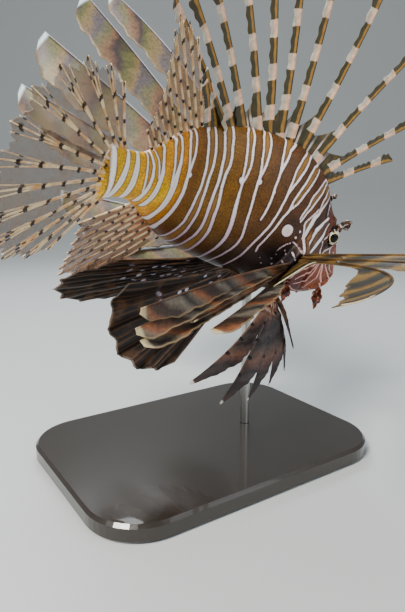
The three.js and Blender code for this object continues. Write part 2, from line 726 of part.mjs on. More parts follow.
// Materials, one for each look.
function finish(color, roughness, metalness = 0) {
  return { color, roughness, metalness };
}

const SKIN = finish(0x7a4420, 0.5);
const HEAD_SKIN = finish(0x8a4a2a, 0.5);
const STALK_SKIN = finish(0xc8802a, 0.5);
const EYE_GLOSS = finish(0x14100c, 0.1);
const FLAP_SKIN = finish(0x6a2a1a, 0.6);
const SPINE_FIN = finish(0xb08a6a, 0.5);
const CLEAR_FIN = finish(0xd8c0a8, 0.45);
const DARK_FIN = finish(0x2c1c14, 0.5);
const PLUME_FIN = finish(0x8a7a5a, 0.5);
const STAND_BOARD = finish(0x1c1a19, 0.35);
const STAND_METAL = finish(0xa8a8a6, 0.3, 1);

const fish = new THREE.Group();
fish.rotation.set(BANK, NOSE_DOWN, 0, 'YXZ');
const held = at(ROD_AT, 0, along(BELLY_LINE, ROD_AT)).applyEuler(fish.rotation);
fish.position.set(ROD_X - held.x, -held.y, BELLY_HEIGHT - held.z);
fish.updateMatrixWorld(true);

const model = new THREE.Group();
model.add(fish);

function put(group, name, geometry, look) {
  const mesh = new THREE.Mesh(geometry, new THREE.MeshStandardMaterial(look));
  mesh.name = name;
  group.add(mesh);
}

const lobes = { right: pectoralLobe(-1, 0), left: pectoralLobe(1, 0) };
const grownLobes = union([pectoralLobe(-1, GAP), pectoralLobe(1, GAP)]);
const prouderHead = skinned(bodyRings(headStations, GILL.proud + GAP));

put(fish, 'head', geometryOf(makeHead()), HEAD_SKIN);
put(fish, 'lower_jaw', geometryOf(makeJaw()), HEAD_SKIN);
put(fish, 'trunk', geometryOf(skinned(bodyRings(trunkStations, 0))), SKIN);
put(fish, 'tail_stalk', geometryOf(skinned(bodyRings(stalkStations, 0))), STALK_SKIN);

for (const [name, side] of [['right', -1], ['left', 1]]) {
  put(fish, `gill_cover_${name}`, geometryOf(proudHead.intersect(gillPrism(side, 0))), HEAD_SKIN);
  put(fish, `eye_${name}`, geometryOf(eyeBall(side, 0)), EYE_GLOSS);
  const grownCover = prouderHead.intersect(gillPrism(side, GAP));
  put(fish, `pectoral_base_${name}`, geometryOf(lobes[name].subtract(grownBody).subtract(grownCover)), SKIN);
}

const grownHead = union([grownBody, lip(UPPER_LIP), lip(LOWER_LIP),
  eyeRim(1), eyeRim(-1), eyeBall(1, GAP), eyeBall(-1, GAP)]);
for (const [name, side] of [['right', -1], ['left', 1]]) {
  put(fish, `eye_tentacle_${name}`, geometryOf(eyeTentacle(side).subtract(grownHead)), FLAP_SKIN);
  put(fish, `mouth_barbel_${name}`, geometryOf(mouthBarbel(side).subtract(grownHead)), FLAP_SKIN);
  put(fish, `cheek_flap_${name}`, geometryOf(cheekFlap(side).subtract(grownHead)), FLAP_SKIN);
}

function finOn(body, keepOff) {
  return geometryOf(body.subtract(keepOff));
}

put(fish, 'spiny_dorsal_fin', finOn(spinyDorsal(), grownBody), SPINE_FIN);
put(fish, 'soft_dorsal_fin', finOn(midFin(TOP_LINE, SOFT_DORSAL), grownBody), CLEAR_FIN);
put(fish, 'anal_fin', finOn(midFin(BELLY_LINE, ANAL), grownBody), CLEAR_FIN);
put(fish, 'tail_fin', finOn(membrane(tailRays()), grownBody), CLEAR_FIN);
put(fish, 'pelvic_fin_right', finOn(membrane(pelvicRays(-1, PELVIC_RIGHT)), grownBody), DARK_FIN);
put(fish, 'pelvic_fin_left', finOn(membrane(pelvicRays(1, PELVIC_LEFT)), grownBody), DARK_FIN);

const keepOffPectorals = union([grownBody, grownLobes]);
for (const name of ['right', 'left']) {
  for (const part of ['upper', 'middle', 'lower']) {
    put(fish, `pectoral_${part}_${name}`, finOn(makePectoral(part, name), keepOffPectorals), PLUME_FIN);
  }
}

// Stand: the base plate and a rod whose cup fits the belly.
function roundedPlate(length, width, corner) {
  const x = length / 2 - corner;
  const y = width / 2 - corner;
  const outline = new THREE.Shape();
  outline.absarc(x, y, corner, 0, Math.PI / 2);
  outline.absarc(-x, y, corner, Math.PI / 2, Math.PI);
  outline.absarc(-x, -y, corner, Math.PI, 1.5 * Math.PI);
  outline.absarc(x, -y, corner, 1.5 * Math.PI, 2 * Math.PI);
  return outline;
}

const inner = roundedPlate(BASE_LENGTH - 2 * BASE_BEVEL, BASE_WIDTH - 2 * BASE_BEVEL, BASE_CORNER);
const board = new THREE.ExtrudeGeometry(inner, {
  depth: BASE_THICKNESS - 2 * BASE_BEVEL,
  bevelThickness: BASE_BEVEL,
  bevelSize: BASE_BEVEL,
  bevelSegments: 1,
  curveSegments: 6,
});
board.translate(0, 0, BASE_BEVEL);
put(model, 'stand_base', geometryOf(solidOf(board)), STAND_BOARD);

const rodFoot = BASE_THICKNESS + GAP;
const rodTop = BELLY_HEIGHT - CUP_HEIGHT;
const rod = new THREE.CylinderGeometry(ROD_RADIUS, ROD_RADIUS, rodTop - rodFoot, 14);
rod.rotateX(Math.PI / 2);
rod.translate(ROD_X, 0, (rodTop + rodFoot) / 2);
const cup = new THREE.CylinderGeometry(CUP_RADIUS, ROD_RADIUS, CUP_HEIGHT * 2, 18);
cup.rotateX(Math.PI / 2);
cup.translate(ROD_X, 0, BELLY_HEIGHT);
const toRow = fish.matrixWorld.toArray();
const bodyInRow = grownBody.transform(toRow);
put(model, 'stand_rod', geometryOf(solidOf(rod).add(solidOf(cup)).subtract(bodyInRow)), STAND_METAL);

export default model;
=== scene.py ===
import math

import bmesh
import bpy
import numpy as np
from mathutils import Euler, Matrix, Vector, noise


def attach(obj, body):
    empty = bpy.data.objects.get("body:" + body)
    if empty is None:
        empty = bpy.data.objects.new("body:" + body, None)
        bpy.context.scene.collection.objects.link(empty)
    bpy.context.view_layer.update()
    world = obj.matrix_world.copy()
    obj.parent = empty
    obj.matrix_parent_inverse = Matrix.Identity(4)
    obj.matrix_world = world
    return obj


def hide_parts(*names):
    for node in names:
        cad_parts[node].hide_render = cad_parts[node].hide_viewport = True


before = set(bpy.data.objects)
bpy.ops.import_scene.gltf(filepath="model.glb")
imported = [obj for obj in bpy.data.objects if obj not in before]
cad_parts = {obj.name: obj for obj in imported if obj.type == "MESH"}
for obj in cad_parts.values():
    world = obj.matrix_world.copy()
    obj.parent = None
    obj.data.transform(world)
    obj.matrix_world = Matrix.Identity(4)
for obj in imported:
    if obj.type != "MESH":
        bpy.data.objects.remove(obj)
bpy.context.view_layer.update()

# The view. The camera stands behind the fish's right shoulder, a little above it, and looks
# down across the back toward the head, level with the horizon.
VIEW_PLACE = Vector((-0.2066, -0.3112, 0.1894))
VIEW_HEADING = math.radians(56.4)
VIEW_DOWN = math.radians(12.0)
VIEW_TALL = math.radians(59.35)

camera_data = bpy.data.cameras.new("view")
camera_data.sensor_fit = "VERTICAL"
camera_data.angle_y = VIEW_TALL
camera_data.clip_start = 0.01
camera = bpy.data.objects.new("view", camera_data)
camera.location = VIEW_PLACE
camera.rotation_euler = Euler((math.pi / 2 - VIEW_DOWN, 0, VIEW_HEADING - math.pi / 2))
bpy.context.scene.collection.objects.link(camera)
bpy.context.scene.camera = camera

# The room. A pale floor that sweeps up into a backdrop, a broad key lamp over the viewer's left
# shoulder, a fill on the right and a soft lamp behind that lights the fins through.
ROOM_HALF = 3.0
SWEEP_FROM = 1.1
SWEEP_RISE = 1.6
SWEEP_CURVE = 2.2
SWEEP_PULL = 0.8
ROOM_GREY = (0.50, 0.53, 0.54, 1)
ROOM_PALE = (0.52, 0.5512, 0.5616, 1)
SKY_GREY = (0.85, 0.9, 0.95, 1)
SKY_STRENGTH = 0.36
FISH_MIDDLE = Vector((0.03, -0.03, 0.18))


def node(tree, kind, values=None, **settings):
    """A shader node with its settings made, and its sockets filled or wired."""
    made = tree.nodes.new("ShaderNode" + kind)
    for name, value in settings.items():
        setattr(made, name, value)
    for socket, value in (values or {}).items():
        if isinstance(value, bpy.types.NodeSocket):
            tree.links.new(value, made.inputs[socket])
        else:
            made.inputs[socket].default_value = value
    return made


def new_material(name, **constants):
    """A material, its node tree and its surface shader, with the even values set on the shader."""
    material = bpy.data.materials.new(name)
    material.use_nodes = True
    tree = material.node_tree
    shader = tree.nodes["Principled BSDF"]
    for socket, value in constants.items():
        shader.inputs[socket.replace("_", " ")].default_value = value
    return material, tree, shader


def colours_along(tree, value, stops):
    """A colour that runs through its stops as value goes from 0 to 1: each is a place and a colour."""
    made = node(tree, "ValToRGB", {"Fac": value})
    first, *inner, last = stops
    for element, (place, colour) in zip(made.color_ramp.elements, (first, last)):
        element.position = place
        element.color = colour
    for place, colour in inner:
        made.color_ramp.elements.new(place).color = colour
    return made.outputs["Color"]


def piece_from(bm, name, *materials):
    """A finished object made of a bmesh, smooth shaded, with its materials."""
    mesh = bpy.data.meshes.new(name)
    bm.to_mesh(mesh)
    bm.free()
    mesh.shade_smooth()
    for material in materials:
        mesh.materials.append(material)
    made = bpy.data.objects.new(name, mesh)
    bpy.context.scene.collection.objects.link(made)
    return made


paper, tree, shader = new_material("backdrop_paper", Roughness=0.9)
paper_cloud = node(tree, "TexNoise", {"Scale": 3.0, "Detail": 2.0}).outputs["Fac"]
paper_tint = colours_along(tree, paper_cloud, [(0, ROOM_GREY), (1, ROOM_PALE)])
tree.links.new(paper_tint, shader.inputs["Base Color"])

bm = bmesh.new()
bmesh.ops.create_grid(bm, x_segments=8, y_segments=60, size=ROOM_HALF)
bmesh.ops.rotate(bm, verts=bm.verts, matrix=Matrix.Rotation(VIEW_HEADING - math.pi / 2, 3, "Z"))
ahead = Vector((math.cos(VIEW_HEADING), math.sin(VIEW_HEADING), 0))
for vert in bm.verts:
    beyond = max(0.0, vert.co.dot(ahead) - SWEEP_FROM) / (ROOM_HALF - SWEEP_FROM)
    vert.co.z = SWEEP_RISE * beyond**SWEEP_CURVE
    vert.co -= ahead * beyond**3 * SWEEP_PULL
floor = piece_from(bm, "floor", paper)


def lamp(name, right, up, back, size, power, colour):
    """An area lamp placed from the middle of the fish, along the camera's right, up and back."""
    data = bpy.data.lights.new(name, "AREA")
    data.shape = "DISK"
    data.size = size
    data.energy = power
    data.color = colour
    made = bpy.data.objects.new(name, data)
    sideways = Vector((math.sin(VIEW_HEADING), -math.cos(VIEW_HEADING), 0))
    made.location = FISH_MIDDLE + sideways * right + Vector((0, 0, up)) - ahead * back
    made.rotation_euler = (FISH_MIDDLE - made.location).to_track_quat("-Z", "Y").to_euler()
    bpy.context.scene.collection.objects.link(made)


lamp("key_lamp", -0.55, 0.75, 0.75, 0.45, 29, (1.0, 0.96, 0.88))
lamp("fill_lamp", 0.9, 0.35, 0.5, 0.9, 4, (0.92, 0.96, 1.0))
lamp("back_lamp", -0.2, 0.8, -0.75, 0.7, 11, (0.96, 0.98, 1.0))

room_light = bpy.data.worlds.new("room_light")
room_light.use_nodes = True
sky = room_light.node_tree.nodes["Background"]
sky.inputs["Color"].default_value = SKY_GREY
sky.inputs["Strength"].default_value = SKY_STRENGTH
bpy.context.scene.world = room_light

# The stand: a hardwood board with round corners under black lacquer, and a steel rod turned on
# a lathe, brushed along its length, that ends in a small cup against the belly.
LACQUER = (0.012, 0.010, 0.009, 1)
GRAIN_LIFT = (0.035, 0.026, 0.02, 1)
GRAIN_STRETCH = (6, 60, 60)
STEEL = (0.55, 0.55, 0.53, 1)
STEEL_SHADE = (0.44, 0.44, 0.424, 1)
BRUSH_STRETCH = (900, 900, 12)


def mottling(tree, scale, detail, stretch=None):
    """A soft random pattern from 0 to 1, fixed to its piece and finer along an axis by stretch."""
    spot = node(tree, "TexCoord").outputs["Object"]
    if stretch:
        spot = node(tree, "Mapping", {"Vector": spot, "Scale": stretch}).outputs["Vector"]
    return node(tree, "TexNoise", {"Vector": spot, "Scale": scale, "Detail": detail}).outputs["Fac"]


def emboss(tree, shader, height, strength, metres, under=None):
    """Raises the surface by a pattern, over an earlier raising if one is given."""
    values = {"Height": height, "Strength": strength, "Distance": metres}
    if under:
        values["Normal"] = under
    raised = node(tree, "Bump", values).outputs["Normal"]
    tree.links.new(raised, shader.inputs["Normal"])
    return raised


board, tree, shader = new_material("black_lacquer", Roughness=0.22, Coat_Weight=0.4)
grain = mottling(tree, 9.0, 6.0, GRAIN_STRETCH)
grain_tint = colours_along(tree, grain, [(0, LACQUER), (1, GRAIN_LIFT)])
tree.links.new(grain_tint, shader.inputs["Base Color"])
emboss(tree, shader, grain, 0.08, 0.0004)

steel, tree, shader = new_material("brushed_steel", Metallic=1.0)
scratches = mottling(tree, 1.0, 4.0, BRUSH_STRETCH)
steel_tint = colours_along(tree, scratches, [(0, STEEL_SHADE), (1, STEEL)])
tree.links.new(steel_tint, shader.inputs["Base Color"])
dull = node(tree, "MapRange", {"Value": scratches, "To Min": 0.22, "To Max": 0.42}).outputs["Result"]
tree.links.new(dull, shader.inputs["Roughness"])
emboss(tree, shader, scratches, 0.12, 0.0002)

for cad_name, material in (("stand_base", board), ("stand_rod", steel)):
    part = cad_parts[cad_name]
    part.data.materials.clear()
    part.data.materials.append(material)

# Body skin, one closed skin over head, jaws, gill covers, trunk, tail stalk and the fleshy lobes
# that carry the pectoral fins. It is cast in one, its ridges, mouth, eye sockets, nostrils and
# gill slits are raised and sunk in it, and it rests on the cup of the rod.
BODY_LENGTH = 0.240
SHARE_MM = BODY_LENGTH * 1000
TAIL_BEND = math.radians(41)
BEND_FROM = 0.5
BEND_TO = 0.85
NOSE_DOWN = math.radians(20.4)
BANK = math.radians(22.3)
ROD_AT = 0.3
ROD_X = 0.040
BELLY_HEIGHT = 0.128
# Places on the fish are shares of its length: back from the snout (s), out to the left (w) and up
# from the mid line (z), which bends to the right toward the tail. The whole fish is banked and
# turned nose down over the rod.
TOP_LINE = [(0, -0.052), (0.03, 0), (0.08, 0.062), (0.13, 0.108), (0.18, 0.146), (0.24, 0.195),
            (0.35, 0.232), (0.45, 0.23), (0.55, 0.212), (0.65, 0.178), (0.75, 0.133), (0.83, 0.085),
            (0.9, 0.058), (1, 0.056)]
BELLY_LINE = [(0, -0.074), (0.03, -0.126), (0.08, -0.156), (0.15, -0.17), (0.25, -0.172),
              (0.4, -0.173), (0.52, -0.168), (0.62, -0.155), (0.7, -0.13), (0.78, -0.092),
              (0.86, -0.062), (0.93, -0.051), (1, -0.055)]
HALF_WIDTH = [(0, 0.014), (0.03, 0.04), (0.08, 0.06), (0.15, 0.08), (0.24, 0.097), (0.35, 0.1),
              (0.45, 0.094), (0.55, 0.08), (0.65, 0.062), (0.75, 0.046), (0.85, 0.032),
              (0.93, 0.022), (1, 0.017)]
WIDEST_LEVEL = 0.42
BACK_PINCH = 0.22
MID_END = 1.7
MID_STEP = 0.005


def smooth_step(t):
    t = np.clip(t, 0, 1)
    return t * t * (3 - 2 * t)


def along(profile, s):
    """A smooth curve through a profile's points, held level past its ends."""
    xs, ys = np.array(profile, float).T
    slopes = np.gradient(ys, xs, edge_order=1)
    slopes[1:-1] = (ys[2:] - ys[:-2]) / (xs[2:] - xs[:-2])
    s = np.clip(s, xs[0], xs[-1])
    i = np.clip(np.searchsorted(xs, s, side="right") - 1, 0, len(xs) - 2)
    h = xs[i + 1] - xs[i]
    t = (s - xs[i]) / h
    rise = (1 + 2 * t) * (1 - t) ** 2 * ys[i] + t * (1 - t) ** 2 * h * slopes[i]
    return rise + t * t * (3 - 2 * t) * ys[i + 1] + t * t * (t - 1) * h * slopes[i + 1]


def heading(s):
    return TAIL_BEND * smooth_step((np.asarray(s, float) - BEND_FROM) / (BEND_TO - BEND_FROM))


mid_s = np.arange(0, MID_END, MID_STEP)
mid_turns = heading(mid_s[1:] - MID_STEP / 2)
mid_x = np.concatenate(([0], np.cumsum(-np.cos(mid_turns) * MID_STEP)))
mid_y = np.concatenate(([0], np.cumsum(-np.sin(mid_turns) * MID_STEP)))


def fish(s, w, z):
    """Points in metres in the fish's own space from their shares."""
    s, w, z = np.broadcast_arrays(*(np.asarray(value, float) for value in (s, w, z)))
    turn = heading(s)
    x = np.interp(s, mid_s, mid_x) - np.minimum(s, 0) - np.sin(turn) * w
    y = np.interp(s, mid_s, mid_y) + np.cos(turn) * w
    return np.stack([x, y, z], axis=-1) * BODY_LENGTH


FISH_TURN = np.array(Matrix.Rotation(NOSE_DOWN, 3, "Y") @ Matrix.Rotation(BANK, 3, "X"))
held = FISH_TURN @ fish(ROD_AT, 0, along(BELLY_LINE, ROD_AT))
FISH_PLACE = np.array([ROD_X, 0, BELLY_HEIGHT]) - held


def settled(points):
    """Points of the fish's own space set in their place over the stand."""
    return np.asarray(points) @ FISH_TURN.T + FISH_PLACE


def unit(vectors):
    vectors = np.asarray(vectors, float)
    return vectors / np.maximum(np.linalg.norm(vectors, axis=-1, keepdims=True), 1e-9)


def half_width_at(s, z):
    top, belly = along(TOP_LINE, s), along(BELLY_LINE, s)
    level = belly + (top - belly) * WIDEST_LEVEL
    up = np.clip(np.where(z > level, (z - level) / (top - level), (z - level) / (level - belly)), -1, 1)
    return along(HALF_WIDTH, s) * (1 - BACK_PINCH * np.maximum(0, up) ** 2) * np.sqrt(1 - up * up)


SKIN_ROWS = 400
SKIN_SIDES = 196
SNOUT_ROUND = 0.006
TAIL_ROUND = 0.014
TAIL_FLARE = 6
TAIL_SLANT = 0.034
EYE = {"s": 0.14, "z": 0.054, "out": 0.046, "radius": 0.0074}
LOBE_TOP = (0.262, -0.012)
LOBE_FOOT = (0.285, -0.142)
LOBE_OUT = 0.009
LOBE_HALF_MM = 6.2
LOBE_EDGE_MM = 2.2
LOBE_WAY = np.array([-0.25, 0.94, -0.2])
MOUTH = [(-0.01, -0.060), (0.012, -0.066), (0.05, -0.088), (0.085, -0.108), (0.102, -0.118)]
# Raised and sunk lines of the head: half width and height in millimetres, then (s, z) shares.
RELIEF = [
    (1.3, -2.4, MOUTH),
    (1.5, 1.5, [(s, z + 0.0125) for s, z in MOUTH[:-1]]),
    (1.6, 1.5, [(s - 0.004, z - 0.0125) for s, z in MOUTH[:-1]]),
    (2.6, 1.6, [(0.086, 0.078), (0.11, 0.094), (0.14, 0.098), (0.17, 0.088), (0.2, 0.09)]),
    (1.6, 1.2, [(0.04, -0.012), (0.07, -0.02), (0.11, -0.022), (0.15, -0.016), (0.2, -0.026)]),
    (1.4, 0.9, [(0.03, -0.045), (0.06, -0.055), (0.1, -0.07), (0.125, -0.085)]),
    (1.3, -1.0, [(0.168, 0.02), (0.178, -0.02), (0.176, -0.06), (0.162, -0.1), (0.13, -0.135)]),
    (1.8, 1.0, [(0.16, 0.018), (0.168, -0.02), (0.166, -0.058), (0.152, -0.095), (0.12, -0.128)]),
    (1.2, -1.5, [(0.232, 0.088), (0.258, 0.05), (0.268, 0.0), (0.262, -0.055), (0.24, -0.1),
                 (0.2, -0.135), (0.15, -0.158)]),
    (2.4, 0.9, [(0.222, 0.082), (0.247, 0.045), (0.256, 0.0), (0.25, -0.05), (0.228, -0.092),
                (0.19, -0.124)]),
    (0.9, 0.7, [(0.06, 0.03), (0.075, 0.05), (0.095, 0.072)]),
]
# Short hard points on the cheek and brow: place as (s, z) and height in millimetres.
POINTS = [(0.185, -0.026, 2.2), (0.16, -0.018, 1.6), (0.18, -0.045, 1.9), (0.179, -0.066, 1.8),
          (0.171, -0.086, 1.7), (0.158, -0.104, 1.5), (0.252, 0.03, 1.9), (0.25, 0.055, 1.6),
          (0.172, 0.09, 2.2), (0.15, 0.1, 1.8), (0.2, 0.094, 2.4), (0.2, 0.128, 2.0),
          (0.12, 0.096, 1.5), (0.06, -0.02, 1.2), (0.09, -0.03, 1.3), (0.045, -0.036, 1.2)]
# Nostrils: place as (s, z) and radius in millimetres.
NOSTRILS = [(0.045, 0.01, 0.9), (0.075, 0.035, 1.1)]
NOSTRIL_RIM, NOSTRIL_DEEP = 0.6, 1.6
SOCKET_RIM, SOCKET_DEEP = 1.5, 4.5


def from_line(points, s, z):
    """Distance in millimetres from each (s, z) to a drawn line, and the share along it."""
    points = np.array(points, float)
    lengths = np.linalg.norm(np.diff(points, axis=0), axis=1)
    starts = np.concatenate(([0], np.cumsum(lengths)))
    nearest = np.full(s.shape, 1e9)
    share = np.zeros(s.shape)
    for start, end, length, before in zip(points[:-1], points[1:], lengths, starts[:-1]):
        t = ((s - start[0]) * (end[0] - start[0]) + (z - start[1]) * (end[1] - start[1])) / length**2
        t = np.clip(t, 0, 1)
        away = np.hypot(s - start[0] - t * (end[0] - start[0]), z - start[1] - t * (end[1] - start[1]))
        closer = away < nearest
        nearest = np.where(closer, away, nearest)
        share = np.where(closer, (before + t * length) / starts[-1], share)
    return nearest * SHARE_MM, share


def grid_mesh(name, columns, rows, place):
    """A grid made by bmesh and laid by place(u, v), both 0 to 1: the mesh with its u and v."""
    bm = bmesh.new()
    bmesh.ops.create_grid(bm, x_segments=columns, y_segments=rows, size=0.5)
    mesh = bpy.data.meshes.new(name)
    bm.to_mesh(mesh)
    bm.free()
    flat = np.empty(len(mesh.vertices) * 3, np.float32)
    mesh.vertices.foreach_get("co", flat)
    flat = flat.reshape(-1, 3)
    u, v = flat[:, 0].astype(float) + 0.5, flat[:, 1].astype(float) + 0.5
    mesh.vertices.foreach_set("co", place(u, v).astype(np.float32).ravel())
    return mesh, u, v


def store(mesh, name, values):
    """A number, vector or colour for each vertex, kept on the mesh for its material to read."""
    values = np.asarray(values, np.float32)
    kind = {1: "FLOAT", 3: "FLOAT_VECTOR", 4: "FLOAT_COLOR"}[values.shape[1] if values.ndim > 1 else 1]
    layer = mesh.attributes.new(name, kind, "POINT")
    slot_name = {"FLOAT": "value", "FLOAT_VECTOR": "vector", "FLOAT_COLOR": "color"}[kind]
    layer.data.foreach_set(slot_name, values.ravel())


def skin_points(u, v):
    """Shares of each skin vertex, u round the body and v along it, and how far the end closes it.
    The snout closes to a point, and the tail end to an upright edge that slants with the fin."""
    s = -SNOUT_ROUND + v * (1 + SNOUT_ROUND + TAIL_ROUND)
    closing = np.where(s < 0, 1 + s / SNOUT_ROUND, np.where(s > 1, 1 - (s - 1) / TAIL_ROUND, 1))
    closing = np.sqrt(np.clip(1 - (1 - np.clip(closing, 0, 1)) ** 2, 0, 1))
    top, belly = along(TOP_LINE, s), along(BELLY_LINE, s)
    level = belly + (top - belly) * WIDEST_LEVEL
    up, out = np.cos(u * 2 * math.pi), np.sin(u * 2 * math.pi)
    half = along(HALF_WIDTH, s) * (1 - BACK_PINCH * np.maximum(0, up) ** 2)
    tall = np.where(s > 1, 1 + (s - 1) * TAIL_FLARE, closing)
    z = level + tall * up * np.where(up > 0, top - level, level - belly)
    s = s + TAIL_SLANT * np.clip((s - 0.95) / 0.06, 0, 1) * np.clip((z + 0.05) / 0.11, 0, 1)
    return s, closing * out * half, z, closing


def skin_relief(s, w, z):
    """Millimetres that the skin stands out at each point, from its ridges, grooves and pits."""
    height = np.zeros(s.shape)
    for half, rise, points in RELIEF:
        away, share = from_line(points, s, z)
        fade = np.sin(np.pi * np.clip(share * 0.9 + 0.05, 0, 1)) ** 0.35
        height += rise * fade * np.exp(-((away / half) ** 2))
    for point_s, point_z, rise in POINTS:
        away = np.hypot(s - point_s, z - point_z) * SHARE_MM
        height += rise * np.exp(-away)
    for point_s, point_z, radius in NOSTRILS:
        away = np.hypot(s - point_s, z - point_z) * SHARE_MM
        height += NOSTRIL_RIM * np.exp(-(((away - radius * 1.5) / 0.6) ** 2))
        height -= NOSTRIL_DEEP * np.exp(-((away / radius) ** 2))
    from_eye = np.hypot(s - EYE["s"], z - EYE["z"]) * SHARE_MM
    eye = EYE["radius"] * 1000
    height += SOCKET_RIM * np.exp(-(((from_eye - eye * 1.02) / 1.3) ** 2))
    height -= SOCKET_DEEP * smooth_step((eye * 0.92 - from_eye) / 2.2)
    return height * smooth_step((np.abs(w) - 0.004) / 0.012)


def lobe_swell(s, z, w):
    """How far each point goes out with the pectoral lobe of its side, in metres."""
    away, share = from_line([LOBE_TOP, LOBE_FOOT], s, z)
    rounding = smooth_step((LOBE_HALF_MM + LOBE_EDGE_MM - away) / (2 * LOBE_EDGE_MM))
    return LOBE_OUT * rounding * (np.abs(w) > 0.01)


def lay_skin(u, v):
    s, w, z, closing = skin_points(u, v)
    base = fish(s, w, z)
    side = np.sign(w)
    middle = (along(TOP_LINE, s) + along(BELLY_LINE, s)) / 2
    outward = unit(np.stack([np.zeros(s.shape), w * 1.6, z - middle], -1))
    turn = heading(s)
    outward = np.stack([-np.sin(turn) * outward[:, 1], np.cos(turn) * outward[:, 1], outward[:, 2]], -1)
    raised = base + outward * (skin_relief(s, w, z) * closing / 1000)[:, None]
    lobe_way = LOBE_WAY * np.stack([np.ones(s.shape), side, np.ones(s.shape)], -1)
    return settled(raised + lobe_way * lobe_swell(s, z, w)[:, None])


